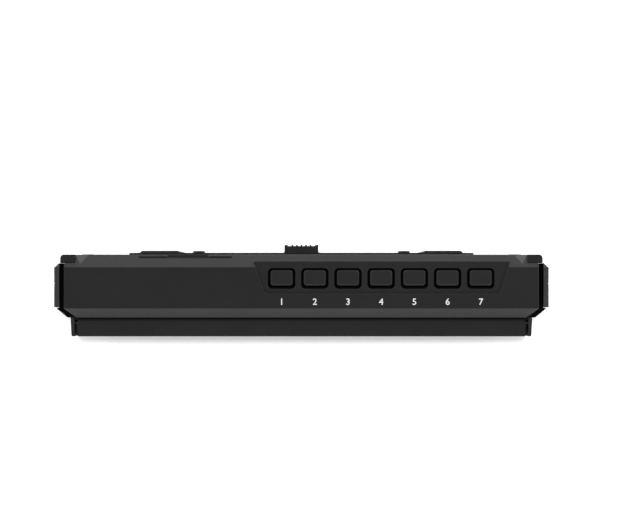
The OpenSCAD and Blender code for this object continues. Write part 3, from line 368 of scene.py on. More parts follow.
def printed_mark(finish, base):
    """Pad print: thin pale ink with tiny pores."""
    texture = finish.add_group("moulded_grain", Grain_per_metre=5200, Slow_per_metre=400)
    pores = finish.ramp(texture["Height"], 0.3, 0.42)
    finish.surface(finish.mix(pores, scaled(base, 0.6), base),
                   finish.spread(texture["Tone"], 0.4, 0.6), texture["Height"], 0.004)


def coated_glass(finish):
    """Cover glass with a faint neutral coating."""
    texture = finish.add_group("moulded_grain", Grain_per_metre=2600, Slow_per_metre=35)
    tone = finish.mix(texture["Tone"], (0.89, 0.91, 0.9), (0.91, 0.92, 0.91))
    finish.surface(tone, finish.spread(texture["Sheen"], 0.02, 0.026),
                   Transmission_Weight=1.0, IOR=1.5)


def dark_display(finish):
    """Display that is off: an even, near black face with a trace of cloudiness."""
    texture = finish.add_group("moulded_grain", Grain_per_metre=1500, Slow_per_metre=25)
    tone = finish.mix(texture["Tone"], (0.0062, 0.0062, 0.0072), (0.0066, 0.0066, 0.0077))
    finish.surface(tone, 0.27)


def solder_board(finish, base):
    """Circuit board: solder resist over copper tracks."""
    texture = finish.add_group("moulded_grain", Grain_per_metre=2500, Slow_per_metre=120)
    tracks = finish.add("TexBrick", {
        "Vector": finish.place(), "Scale": 330, "Mortar Size": 0.03})["Fac"]
    tone = finish.mix(tracks, base, scaled(base, 1.9))
    tone = finish.mix(texture["Tone"], scaled(base, 0.6), tone)
    finish.surface(tone, finish.spread(texture["Sheen"], 0.28, 0.42), tracks, 0.01)


def finish_for(slot):
    """The material for one of the record's slots, built once."""
    name = slot + "_finish"
    if name in bpy.data.materials:
        return bpy.data.materials[name]
    tint = bpy.context.scene.monitor_colours
    # A maker, its base colour, and its other values in their order
    maker, *details = {
        "case_plastic": (moulded_plastic, tint.case),
        "cap_plastic": (moulded_plastic, tint.cap, (0.36, 0.46), 3600, 0.012, 0.5),
        "hood_plastic": (moulded_plastic, tint.hood, (0.42, 0.52)),
        "key_plastic": (moulded_plastic, tint.key, (0.36, 0.46), 4600, 0.008),
        "latch_plastic": (moulded_plastic, tint.latch, (0.42, 0.55), 3000, 0.015),
        "chip_plastic": (moulded_plastic, (0.01, 0.01, 0.0105), (0.45, 0.6), 4200),
        "tongue_plastic": (moulded_plastic, (0.3, 0.3, 0.31), (0.35, 0.45), 5000, 0.004),
        "backlight": (moulded_plastic, (0.72, 0.73, 0.74), (0.5, 0.6), 1500),
        "ribbon": (moulded_plastic, (0.42, 0.19, 0.05), (0.25, 0.35), 1200, 0.004),
        "black_border": (moulded_plastic, (0.004, 0.004, 0.0042), (0.3, 0.4), 3600, 0.012, 0),
        "spacer_rubber": (soft_rubber, tint.spacer, 0.06),
        "pad_rubber": (soft_rubber, tint.pad),
        "cover_glass": (coated_glass,),
        "display": (dark_display,),
        # Near black board: painted shade for the key board where it shows in the gaps round the
        # keys.
        "circuit_board": (solder_board, tint.board),
        "black_board": (solder_board, (0.003, 0.003, 0.0033)),
        "frame_metal": (plated_metal, (0.6, 0.61, 0.62), (0.35, 0.5)),
        "switch_metal": (plated_metal, (0.5, 0.5, 0.51)),
        "socket_metal": (plated_metal, tint.steel, (0.16, 0.3)),
        "insert_metal": (plated_metal, (0.34, 0.34, 0.345), (0.34, 0.5), 3800),
        "contact_metal": (plated_metal, tint.gold, (0.14, 0.26)),
        "screw_metal": (plated_metal, (0.055, 0.055, 0.06), (0.3, 0.42), 3400),
        "hinge_metal": (plated_metal, (0.03, 0.03, 0.032)),
        "printed_mark": (printed_mark, tint.mark),
    }[slot]
    finish = Finish(name)
    maker(finish, *details)
    return finish.material


# Mesh tools

ROUNDED_FROM = math.radians(24)
ROOM_SHARE = 0.3
ATTEMPTS = 5
FOLD_AREA = 0.01 * MM * MM
FOLD_DEPTH = 0.4 * MM
FOLD_REACH = 1.0 * MM


def new_object(name, data):
    """An object that is linked to the scene."""
    made = bpy.data.objects.new(name, data)
    bpy.context.scene.collection.objects.link(made)
    return made


def mesh_taken_from(helper):
    """The mesh that a helper object gives, after its modifiers. The helper goes."""
    graph = bpy.context.evaluated_depsgraph_get()
    mesh = bpy.data.meshes.new_from_object(helper.evaluated_get(graph), depsgraph=graph)
    bpy.data.objects.remove(helper)
    return mesh


def room_beside(edge, face):
    """How far a face reaches away from one of its edges."""
    start = edge.verts[0].co
    along = (edge.verts[1].co - start).normalized()
    across = face.normal.cross(along)
    return max(abs((vert.co - start).dot(across)) for vert in face.verts)


def rounded_mesh(form, name, radius, segments=3):
    """A mesh from a bmesh with its outer edges rounded.

    radius is a length, or a function that gives one for the middle of an edge. No edge takes more
    than its share of the room beside it, and less where the rounding would fold a face over. The
    new faces are marked in the attribute "edge". All stay in the box that the form had.
    """
    low, high = ([pick(vert.co[axis] for vert in form.verts) for axis in range(3)]
                 for pick in (min, max))
    bmesh.ops.recalc_face_normals(form, faces=form.faces)
    weights = form.edges.layers.float.new("bevel_weight_edge")
    wanted = {}
    for edge in form.edges:
        if (len(edge.link_faces) != 2 or not edge.is_convex
                or edge.calc_face_angle(0) < ROUNDED_FROM):
            continue
        middle = (edge.verts[0].co + edge.verts[1].co) / 2
        most = radius(middle) if callable(radius) else radius
        room = min(room_beside(edge, face) for face in edge.link_faces)
        wanted[edge] = min(most, ROOM_SHARE * room)
    chains = [[chain, min(wanted[edge] for edge in chain)] for chain in edge_chains(wanted)]
    bmesh.ops.triangulate(form, faces=[face for face in form.faces if len(face.verts) > 4])
    before = BVHTree.FromBMesh(form)
    for attempt in range(ATTEMPTS):
        widest = max((width for _, width in chains), default=0)
        for chain, width in chains:
            for edge in chain:
                edge[weights] = width / widest
        mesh = bevelled(form, widest, name, segments)
        places = folded_places(mesh, before)
        if not places or attempt == ATTEMPTS - 1:
            break
        for entry in chains:
            if any(distance_to(edge, place) < FOLD_REACH for edge in entry[0] for place in places):
                entry[1] *= 0.5
        bpy.data.meshes.remove(mesh)
    form.free()
    for vert in mesh.vertices:
        vert.co = [min(max(vert.co[axis], low[axis]), high[axis]) for axis in range(3)]
    return shaded(mesh)


def edge_chains(edges):
    """Groups edges into the runs between corners, so that a run gets one width."""
    left = set(edges)
    chains = []
    for first in edges:
        if first not in left:
            continue
        left.discard(first)
        chain, ends = [first], [first]
        while ends:
            edge = ends.pop()
            for vert in edge.verts:
                beside = [other for other in vert.link_edges if other in edges]
                fresh = [other for other in beside if other in left and len(beside) == 2]
                left.difference_update(fresh)
                chain.extend(fresh)
                ends.extend(fresh)
        chains.append(chain)
    return chains


def bevelled(form, widest, name, segments):
    """A copy of a bmesh, rounded by the weight of each edge."""
    plain = bpy.data.meshes.new(name + "_plain")
    form.to_mesh(plain)
    plain.materials.append(None)
    plain.materials.append(None)
    helper = new_object(name + "_helper", plain)
    bevel = helper.modifiers.new("round", "BEVEL")
    bevel.limit_method = "WEIGHT"
    bevel.width = widest
    bevel.segments = segments
    bevel.use_clamp_overlap = False
    bevel.loop_slide = False
    bevel.material = 1
    bevel.miter_outer = "MITER_ARC"
    bevel.face_strength_mode = "FSTR_ALL"
    mesh = mesh_taken_from(helper)
    mesh.name = name
    bpy.data.meshes.remove(plain)
    edge_faces = [float(face.material_index == 1) for face in mesh.polygons]
    mesh.attributes.new("edge", "FLOAT", "FACE").data.foreach_set("value", edge_faces)
    mesh.polygons.foreach_set("material_index", [0] * len(mesh.polygons))
    mesh.materials.clear()
    if "custom_normal" in mesh.attributes:
        mesh.attributes.remove(mesh.attributes["custom_normal"])
    return mesh


def folded_places(mesh, before):
    """Corners of the faces that were turned over."""
    places = []
    mesh.calc_loop_triangles()
    for face in mesh.loop_triangles:
        corners = [mesh.vertices[i].co.copy() for i in face.vertices]
        _, normal, _, away = before.find_nearest(sum(corners, Vector()) / 3)
        if face.area >= FOLD_AREA and away < FOLD_DEPTH and face.normal.dot(normal) < -0.2:
            places.extend(corners)
    return places


def distance_to(edge, place):
    start, end = edge.verts[0].co, edge.verts[1].co
    along = end - start
    share = max(0.0, min(1.0, (place - start).dot(along) / along.length_squared))
    return (start + along * share - place).length


def shaded(mesh, angle=34):
    """Smooth shading, broken at edges sharper than the angle."""
    mesh.polygons.foreach_set("use_smooth", [True] * len(mesh.polygons))
    mesh.set_sharp_from_angle(angle=math.radians(angle))
    return mesh


def solid_of(node):
    """A bmesh of a CAD node's solid with whole faces instead of triangles."""
    form = bmesh.new()
    form.from_mesh(frame["nodes"][node].data)
    bmesh.ops.remove_doubles(form, verts=form.verts, dist=1e-6)
    bmesh.ops.dissolve_limit(
        form, angle_limit=math.radians(0.4), verts=form.verts, edges=form.edges)
    return form


def place_piece(name, mesh, slot, body, replaced=(), finish=None):
    """Puts a finished mesh into the scene, on its body, in the place of its CAD nodes."""
    piece = new_object(name, mesh)
    mesh.materials.clear()
    mesh.materials.append(finish_for(finish or slot))
    weighted = piece.modifiers.new("even_normals", "WEIGHTED_NORMAL")
    weighted.keep_sharp = True
    weighted.use_face_influence = True
    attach(piece, body)
    if replaced:
        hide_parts(*replaced)


def place_form(name, form, slot, replaced=(), finish=None):
    """Finishes a bmesh and puts it into the scene on the case."""
    place_piece(name, finished(form, name), slot, "case", replaced, finish)


def body_with(node):
    """The CAD body that a node belongs to."""
    return frame["nodes"][node]["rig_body"]


def finish_moulding(node, name, radius, segments=3, change=None):
    """The finished piece for a CAD node whose form is right but whose edges are sharp."""
    form = solid_of(node)
    if change:
        change(form)
    mesh = rounded_mesh(form, name, radius, segments)
    place_piece(name, mesh, SLOTS[node], body_with(node), [node])


def slope_ends(side, bottom, top):
    """A change that slopes the top and bottom faces of a side wall down to its outer face."""
    close = 0.05 * MM

    def change(form):
        for vert in form.verts:
            if abs(vert.co.x) < side - close:
                continue
            if vert.co.z > top - close:
                vert.co.z -= sizes().side_slope
            elif vert.co.z < bottom + close:
                vert.co.z += sizes().side_slope
    return change


def keep_node(node, finish=None):
    """A CAD node that stays as it is and gets its finish."""
    data = frame["nodes"][node].data
    data.materials.clear()
    data.materials.append(finish_for(finish or SLOTS[node]))


def rounded_loop(form, centre, width, depth, radius, height, steps=6):
    """A ring of vertices round a rounded rectangle in X and Y."""
    ring = []
    corners = ((1, 1, 0), (-1, 1, 90), (-1, -1, 180), (1, -1, 270))
    for side_x, side_y, start in corners:
        x = centre.x + side_x * (width / 2 - radius)
        y = centre.y + side_y * (depth / 2 - radius)
        for step in range(steps + 1):
            turn = math.radians(start + 90 * step / steps)
            ring.append(form.verts.new(
                (x + radius * math.cos(turn), y + radius * math.sin(turn), height)))
    return ring


def bridge(form, lower, upper):
    count = len(lower)
    for i in range(count):
        j = (i + 1) % count
        form.faces.new((lower[i], lower[j], upper[j], upper[i]))


def skin(form, rings):
    """A closed skin over rings of vertices."""
    for below, above in zip(rings, rings[1:]):
        bridge(form, below, above)
    form.faces.new(rings[-1])
    form.faces.new(rings[0][::-1])


def lathe(form, points, steps, turn):
    """Turns (radius, height) points round Z, then places the result with a matrix."""
    rings = [
        [form.verts.new(turn @ Vector((
            radius * math.cos(2 * math.pi * i / steps),
            radius * math.sin(2 * math.pi * i / steps), height)))
         for i in range(steps if radius > 0 else 1)]
        for radius, height in points]
    for lower, upper in zip(rings, rings[1:]):
        for i in range(steps):
            j = (i + 1) % steps
            ring = dict.fromkeys((lower[i % len(lower)], lower[j % len(lower)],
                                  upper[j % len(upper)], upper[i % len(upper)]))
            form.faces.new(list(ring))


def add_box(form, across, along, up):
    """Adds a box with the given spans in X, Y and Z to a bmesh."""
    spans = (across, along, up)
    middle = Matrix.Translation([(a + b) / 2 for a, b in spans])
    stretch = Matrix.Diagonal([abs(b - a) for a, b in spans] + [1])
    bmesh.ops.create_cube(form, size=1, matrix=middle @ stretch)


def finished(form, name, angle=34):
    bmesh.ops.recalc_face_normals(form, faces=form.faces)
    mesh = bpy.data.meshes.new(name)
    form.to_mesh(mesh)
    form.free()
    return shaded(mesh, angle)


# Pieces


class PieceOperator(bpy.types.Operator):
    """Base of the operators"""

    bl_options = {"REGISTER", "UNDO"}


class MONITOR_OT_case(PieceOperator):
    """Rounded mouldings of the rear shell and the front bezel"""

    bl_idname = "monitor.case"
    bl_label = "Case"

    def execute(self, context):
        size = sizes()
        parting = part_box("rear_shell")[0].y
        recess_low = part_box("power_key")[1].z - 2.0 * MM
        recess_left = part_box("left_key")[0].x - 9 * MM
        recess_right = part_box("power_key")[1].x + 9 * MM

        def edge_at(place):
            if abs(place.y - parting) < 0.02 * MM or place.y < CASE_FRONT + 0.075 * MM:
                return size.parting_edge
            in_recess = (recess_left < place.x < recess_right
                         and recess_low < place.z < CAD_BOX[1].z - 0.05 * MM)
            at_sockets = (abs(place.x) < 70 * MM and abs(place.y) < 9 * MM
                          and place.z < 0.3 * MM)
            return size.well_edge if in_recess or at_sockets else size.case_edge

        finish_moulding("rear_shell", "rear_moulding", edge_at, change=self.make_room)
        finish_moulding("front_bezel", "front_moulding", edge_at, change=self.make_room)
        return {"FINISHED"}

    def make_room(self, form):
        """Lowers the top face and raises the bottom face by the thickness of the print on them."""
        close = 0.001 * MM
        for vert in form.verts:
            if vert.co.z > CAD_BOX[1].z - close:
                vert.co.z -= sizes().mark_depth
            elif vert.co.z < CAD_BOX[0].z + close:
                vert.co.z += sizes().mark_depth


class MONITOR_OT_sides(PieceOperator):
    """Side caps, the dark spacers behind them and the corner feet"""

    bl_idname = "monitor.sides"
    bl_label = "Side caps and feet"

    def execute(self, context):
        for side in ("left", "right"):
            finish_moulding(f"{side}_side_cap", f"{side}_cap_moulding", sizes().hood_edge,
                            change=slope_ends(CAD_BOX[1].x, CAD_BOX[0].z, CAD_BOX[1].z))
            # Spacer strips in near black rubber: a part of the monitor, and partly painted shade in
            # the groove behind each cap.
            finish_moulding(f"{side}_side_spacer", f"{side}_spacer_strip", sizes().hood_edge)
        finish_moulding("corner_feet", "corner_foot_mouldings", sizes().hood_edge)
        return {"FINISHED"}


class MONITOR_OT_keys(PieceOperator):
    """Seven push keys with bevelled, slightly hollow tops"""

    bl_idname = "monitor.keys"
    bl_label = "Keys"

    def execute(self, context):
        for key in KEYS:
            self.key(key)
        return {"FINISHED"}

    def key(self, key):
        low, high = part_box(key)
        centre = (low + high) / 2
        depth, flange = high.y - low.y, high.x - low.x
        flange_top = high.z - 1.85 * MM
        lower = flange_top - 0.6 * MM
        dish = sizes().key_dish
        form = bmesh.new()
        cap, along = flange - 2.5 * MM, depth - 0.6 * MM
        # Width, depth, corner radius, height, and how far the ring lies to the back
        levels = (
            (flange, depth, 1.0, lower, 0), (flange, depth, 1.0, flange_top, 0),
            (cap, along, 0.9, flange_top, 0.18), (cap, along, 0.9, high.z - 0.5 * MM, 0.18),
            (cap - 0.06 * MM, along - 0.06 * MM, 0.88, high.z - 0.4 * MM, 0.18),
            (cap - 0.6 * MM, along - 0.66 * MM, 0.72, high.z - 0.05 * MM, 0.24),
            (cap - 0.76 * MM, along - 0.82 * MM, 0.66, high.z, 0.24),
            (cap - 1.2 * MM, along - 1.2 * MM, 0.5, high.z - 0.2 * dish, 0.24),
            (cap - 2.8 * MM, along - 2.2 * MM, 0.4, high.z - 0.8 * dish, 0.24),
            (cap - 4.2 * MM, along - 3.4 * MM, 0.3, high.z - dish, 0.24),
        )
        skin(form, [
            rounded_loop(
                form, centre + Vector((0, back * MM, 0)), across, deep, corner * MM, height)
            for across, deep, corner, height, back in levels])
        skin(form, [
            rounded_loop(form, centre, 3 * MM, 3 * MM, 0.3 * MM, height, 2)
            for height in (low.z, lower + 0.1 * MM)])
        mesh = finished(form, f"{key}_cap", 40)
        self.mark_edges(mesh, high.z)
        place_piece(f"{key}_cap", mesh, "key_plastic", body_with(key), [key])
        # Painted shade: the flange and stem, down in the key's well, take the near black rubber
        # finish so that the well round the cap reads as dark as its shade.
        mesh.materials.append(finish_for("spacer_rubber"))
        for face in mesh.polygons:
            face.material_index = int(face.center.z < flange_top + 0.1 * MM)

    def mark_edges(self, mesh, top):
        """The slanted faces round the top take the wear of an edge."""
        worn = [
            float(face.center.z > top - 0.5 * MM and 0.2 < abs(face.normal.z) < 0.985)
            for face in mesh.polygons]
        mesh.attributes.new("edge", "FLOAT", "FACE").data.foreach_set("value", worn)


class MONITOR_OT_marks(PieceOperator):
    """Printed numbers beside the keys, triangles and a ring beside the sockets"""

    bl_idname = "monitor.marks"
    bl_label = "Printed marks"

    def execute(self, context):
        top = CAD_BOX[1].z
        row = CASE_FRONT + 4.9 * MM
        form = bmesh.new()
        for mark, key in enumerate(KEYS, 1):
            low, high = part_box(key)
            self.add_number(form, str(mark), (low.x + high.x) / 2, row, top)
        place_form("key_numbers", form, "case_plastic", finish="printed_mark")
        form = bmesh.new()
        row = CASE_FRONT + 4.7 * MM
        for node, way in (("outlet_pin", 1), ("headphone_socket", 0), ("charging_tongue", -1)):
            low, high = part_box(node)
            self.add_arrow(form, (low.x + high.x) / 2, row, way)
        place_form("socket_marks", form, "case_plastic", finish="printed_mark")
        return {"FINISHED"}

    def add_number(self, form, text, x, y, top):
        curve = bpy.data.curves.new("number", "FONT")
        curve.body = text
        curve.align_x = "CENTER"
        curve.align_y = "CENTER"
        curve.size = sizes().mark_height / 0.7
        curve.offset = 0.03 * MM
        curve.extrude = sizes().mark_depth / 2
        curve.resolution_u = 6
        mesh = mesh_taken_from(new_object("number", curve))
        mesh.transform(Matrix.Translation((x, y, top - sizes().mark_depth / 2)))
        form.from_mesh(mesh)
        bpy.data.curves.remove(curve)
        bpy.data.meshes.remove(mesh)

    def add_arrow(self, form, x, y, way):
        """A triangle that points to the socket for power in, away from it for power out, and a
        ring for sound."""
        reach = sizes().mark_height / 2
        if way:
            corners = [(-reach * 0.9, way * reach * 0.6), (reach * 0.9, way * reach * 0.6),
                       (0, -way * reach * 0.8)]
            self.add_flat(form, [(x + dx, y + dy) for dx, dy in corners])
            return
        steps = 32
        turns = [2 * math.pi * i / steps for i in range(steps)]
        outer, inner = (
            [(x + share * reach * math.cos(t), y + share * reach * math.sin(t)) for t in turns]
            for share in (0.9, 0.55))
        for i in range(steps):
            j = (i + 1) % steps
            self.add_flat(form, [outer[i], outer[j], inner[j], inner[i]])

    def add_flat(self, form, outline):
        skin(form, [[form.verts.new((x, y, z)) for x, y in outline]
                    for z in (0, sizes().mark_depth)])


class MONITOR_OT_sockets(PieceOperator):
    """Power outlet, headphone socket, charging socket and the two video sockets"""

    bl_idname = "monitor.sockets"
    bl_label = "Sockets"

    def execute(self, context):
        finish_moulding("outlet_body", "outlet_moulding", sizes().small_edge)
        self.outlet_pin()
        finish_moulding("headphone_socket", "headphone_moulding", sizes().small_edge)
        self.headphone_springs()
        finish_moulding("charging_shell", "charging_shell_pressing", sizes().small_edge)
        finish_moulding("charging_tongue", "charging_tongue_moulding", sizes().small_edge)
        self.charging_contacts()
        for way in ("input", "output"):
            self.video_socket(f"video_{way}_socket", f"video_{way}")
        return {"FINISHED"}

    def outlet_pin(self):
        low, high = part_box("outlet_pin")
        radius = (high.x - low.x) / 2
        base, tip = high.z, low.z
        form = bmesh.new()
        points = [(0, base), (radius, base), (radius, tip + radius)]
        for step in range(1, 7):
            turn = math.radians(90 * step / 6)
            points.append((radius * math.cos(turn) if step < 6 else 0.28 * radius,
                           tip + radius - radius * math.sin(turn)))
        points += [(0.2 * radius, tip + 0.3 * MM), (0, tip + 0.35 * MM)]
        middle = Matrix.Translation(((low.x + high.x) / 2, (low.y + high.y) / 2, 0))
        lathe(form, points, 40, middle)
        place_form("outlet_pin_turned", form, "socket_metal", ["outlet_pin"])

    def headphone_springs(self):
        """A plated ring in the mouth and two springs down the bore."""
        low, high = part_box("headphone_socket")
        middle = Matrix.Translation(((low.x + high.x) / 2, low.y + 3.7 * MM, 0))
        form = bmesh.new()
        lathe(form, [(1.79 * MM, low.z + 2.0 * MM), (1.7 * MM, low.z + 1.9 * MM),
                     (1.7 * MM, low.z + 4.0 * MM), (1.79 * MM, low.z + 4.1 * MM),
                     (1.79 * MM, low.z + 2.0 * MM)], 48, middle)
        path = ((1.75, 5.5), (1.45, 7.0), (1.3, 8.0), (1.5, 9.5), (1.75, 11.0))
        corners = ((0, -0.55), (0, 0.55), (0.09, 0.55), (0.09, -0.55))
        for side in (-1, 1):
            skin(form, [
                [form.verts.new(middle @ Vector((
                    side * (out - thick) * MM, across * MM, low.z + up * MM)))
                 for thick, across in corners]
                for out, up in path])
        place_form("headphone_springs", form, "contact_metal")

    def charging_contacts(self):
        """Twelve contacts on each face of the tongue."""
        low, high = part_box("charging_tongue")
        up = (low.z + 0.3 * MM, high.z - 1 * MM)
        form = bmesh.new()
        for side, face in ((-1, low.y), (1, high.y)):
            for i in range(12):
                x = (low.x + high.x) / 2 + (i - 5.5) * 0.5 * MM
                add_box(form, (x - 0.13 * MM, x + 0.13 * MM),
                        (face - side * 0.02 * MM, face + side * 0.03 * MM), up)
        self.place_contacts(form, "charging_contacts", 0.02 * MM)

    def video_socket(self, node, name):
        """The socket's shell and its nine contacts on each face of the tongue."""
        finish_moulding(node, f"{name}_shell", sizes().small_edge)
        low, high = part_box(node)
        middle = (low + high) / 2
        across = (low.x + 1.3 * MM, low.x + 8 * MM)
        form = bmesh.new()
        for side in (-1, 1):
            face = middle.y + side * 0.5 * MM
            for i in range(9):
                z = middle.z + (i - 4) * 1.0 * MM
                add_box(form, across, (face - side * 0.02 * MM, face + side * 0.06 * MM),
                        (z - 0.2 * MM, z + 0.2 * MM))
        self.place_contacts(form, f"{name}_contacts", 0.03 * MM)

    def place_contacts(self, form, name, radius):
        place_piece(name, rounded_mesh(form, name, radius, 1), "contact_metal", "case")


class MONITOR_OT_inserts(PieceOperator):
    """Threaded inserts for camera screws, with a real thread"""

    bl_idname = "monitor.inserts"
    bl_label = "Thread inserts"

    def execute(self, context):
        for side in ("left", "right"):
            self.insert(side)
        return {"FINISHED"}

    def insert(self, side):
        node = f"{side}_thread_insert"
        low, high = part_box(node)
        middle = (low + high) / 2
        far = high.x - low.x
        flange = (high.z - low.z) / 2
        outer, bore = flange - 1.2 * MM, 2.6 * MM
        thick, end_wall = 2.4 * MM, 0.8 * MM
        form = bmesh.new()
        away = 1 if side == "right" else -1
        turn = (Matrix.Translation((low.x if away > 0 else high.x, middle.y, middle.z))
                @ Matrix.Rotation(away * math.pi / 2, 4, "Y"))
        depth = sizes().thread_depth
        mouth = bore + 0.6 * MM
        lathe(form, [(bore + depth, end_wall), (0, end_wall)], 64, turn)
        lathe(form, [
            (0, 0.0), (flange, 0.0), (flange, thick),
            (outer, thick + 0.05 * MM), (outer, far - 0.3 * MM), (outer - 0.3 * MM, far),
            (mouth + 0.15 * MM, far), (mouth, far - 0.15 * MM), (mouth, far - 0.45 * MM),
            (bore + depth, far - 0.5 * MM)], 64, turn)
        self.thread(form, turn, bore, depth, end_wall, far - 0.5 * MM)
        mesh = finished(form, f"{side}_insert_turned", 35)
        place_piece(f"{side}_insert_turned", mesh, "insert_metal", "case", [node])

    def thread(self, form, turn, bore, depth, start, end, around=48, per_pitch=8):
        """Wall of the bore whose radius follows a screw thread."""
        pitch = sizes().thread_pitch
        count = max(2, round((end - start) / pitch * per_pitch))
        rows = []
        for k in range(count + 1):
            height = start + (end - start) * k / count
            fade = min(1.0, k / 3, (count - k) / 3)
            row = []
            for i in range(around):
                phase = (height / pitch - i / around) % 1.0
                tooth = 1 - min(1.0, abs(phase - 0.5) / 0.42)
                radius = bore + depth * (1 - tooth * fade)
                angle = 2 * math.pi * i / around
                row.append(form.verts.new(turn @ Vector((
                    radius * math.cos(angle), radius * math.sin(angle), height))))
            rows.append(row)
        for lower, upper in zip(rows, rows[1:]):
            bridge(form, lower, upper)


class MONITOR_OT_back(PieceOperator):
    """Back plate with its battery bay, pads, contacts and screws"""

    bl_idname = "monitor.back"
    bl_label = "Back plate"

    def execute(self, context):
        finish_moulding("battery_plate", "battery_plate_moulding", sizes().well_edge,
                        change=self.part_from_shell)
        finish_moulding("rubber_pads", "pad_strips", sizes().hood_edge)
        finish_moulding("contact_block", "contact_block_moulding", sizes().well_edge)
        finish_moulding("contact_blades", "contact_blades_pressed", sizes().thin_edge, 2)
        for node in ("plate_screws", "case_screws", "board_screws"):
            finish_moulding(node, f"{node}_turned", sizes().small_edge, 2)
        return {"FINISHED"}

    def part_from_shell(self, form):
        """Undercuts the plate's upper edge, which leaves a dark line between plate and shell."""
        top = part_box("battery_plate")[1].z
        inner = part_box("rear_shell")[1].y
        bmesh.ops.bisect_plane(
            form, geom=[*form.verts, *form.edges, *form.faces], dist=0.0001 * MM,
            plane_co=(0, inner + 0.36 * MM, 0), plane_no=(0, 1, 0))
        for vert in form.verts:
            if abs(vert.co.y - inner) < 0.001 * MM and vert.co.z > top - 0.4 * MM:
                vert.co.z -= 1.1 * MM


class MONITOR_OT_latch(PieceOperator):
    """Release slide, its leaf spring and the battery catch"""

    bl_idname = "monitor.latch"
    bl_label = "Release latch"

    def execute(self, context):
        finish_moulding("release_slide", "release_slide_moulding", sizes().small_edge)
        finish_moulding("battery_catch", "battery_catch_moulding", sizes().well_edge)
        finish_moulding("release_spring", "release_spring_leaf", sizes().thin_edge, 2)
        return {"FINISHED"}


class MONITOR_OT_hood(PieceOperator):
    """Sun hood: frame, visor, side wings and hinge pins"""

    bl_idname = "monitor.hood"
    bl_label = "Sun hood"

    def execute(self, context):
        frame_low, frame_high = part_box("hood_frame")

        def edge_at(place):
            if place.y > CASE_FRONT - 0.6 * MM:
                return sizes().parting_edge
            return sizes().hood_edge

        finish_moulding("hood_frame", "hood_frame_moulding", edge_at,
                        change=slope_ends(frame_high.x, frame_low.z, frame_high.z))
        for node in ("visor", "left_wing", "right_wing"):
            finish_moulding(node, f"{node}_moulding", edge_at)
        for node in ("visor_pins", "wing_pins"):
            finish_moulding(node, f"{node}_cut", sizes().small_edge, 2)
        return {"FINISHED"}


class MONITOR_OT_screen(PieceOperator):
    """Cover glass with its printed border, and the display stack behind it"""

    bl_idname = "monitor.screen"
    bl_label = "Screen"

    def execute(self, context):
        finish_moulding("cover_glass", "cover_glass_cut", sizes().well_edge)
        for node in ("display_panel", "backlight_unit", "chassis_plate"):
            keep_node(node)
        self.border()
        return {"FINISHED"}

    def border(self):
        """Black print on the back of the glass, round the lit area."""
        glass_low, glass_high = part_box("cover_glass")
        lit_low, lit_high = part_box("display_panel")
        rim, inset, thick = 0.2 * MM, 2.2 * MM, 0.02 * MM
        back = glass_high.y + 0.01 * MM
        outer = (glass_low.x + rim, glass_low.z + rim, glass_high.x - rim, glass_high.z - rim)
        inner = (lit_low.x + inset, lit_low.z + inset, lit_high.x - inset, lit_high.z - inset)
        form = bmesh.new()
        loops = [
            [form.verts.new(place) for place in (
                (x0, y, z0), (x1, y, z0), (x1, y, z1), (x0, y, z1))]
            for y, (x0, z0, x1, z1) in (
                (back, outer), (back, inner), (back + thick, inner), (back + thick, outer))]
        for first, second in zip(loops, loops[1:] + loops[:1]):
            bridge(form, first, second)
        place_form("glass_border_print", form, "display", finish="black_border")


class MONITOR_OT_inside(PieceOperator):
    """Boards, chips, switches and ribbon inside the case"""

    bl_idname = "monitor.inside"
    bl_label = "Inside"

    def execute(self, context):
        for node in ("main_board", "board_chips", "display_ribbon", "key_switches"):
            keep_node(node)
        # Painted shade: the key board takes near black solder resist so that the gaps round the
        # keys, where the board shows, read as dark as their shade.
        keep_node("key_board", "black_board")
        return {"FINISHED"}


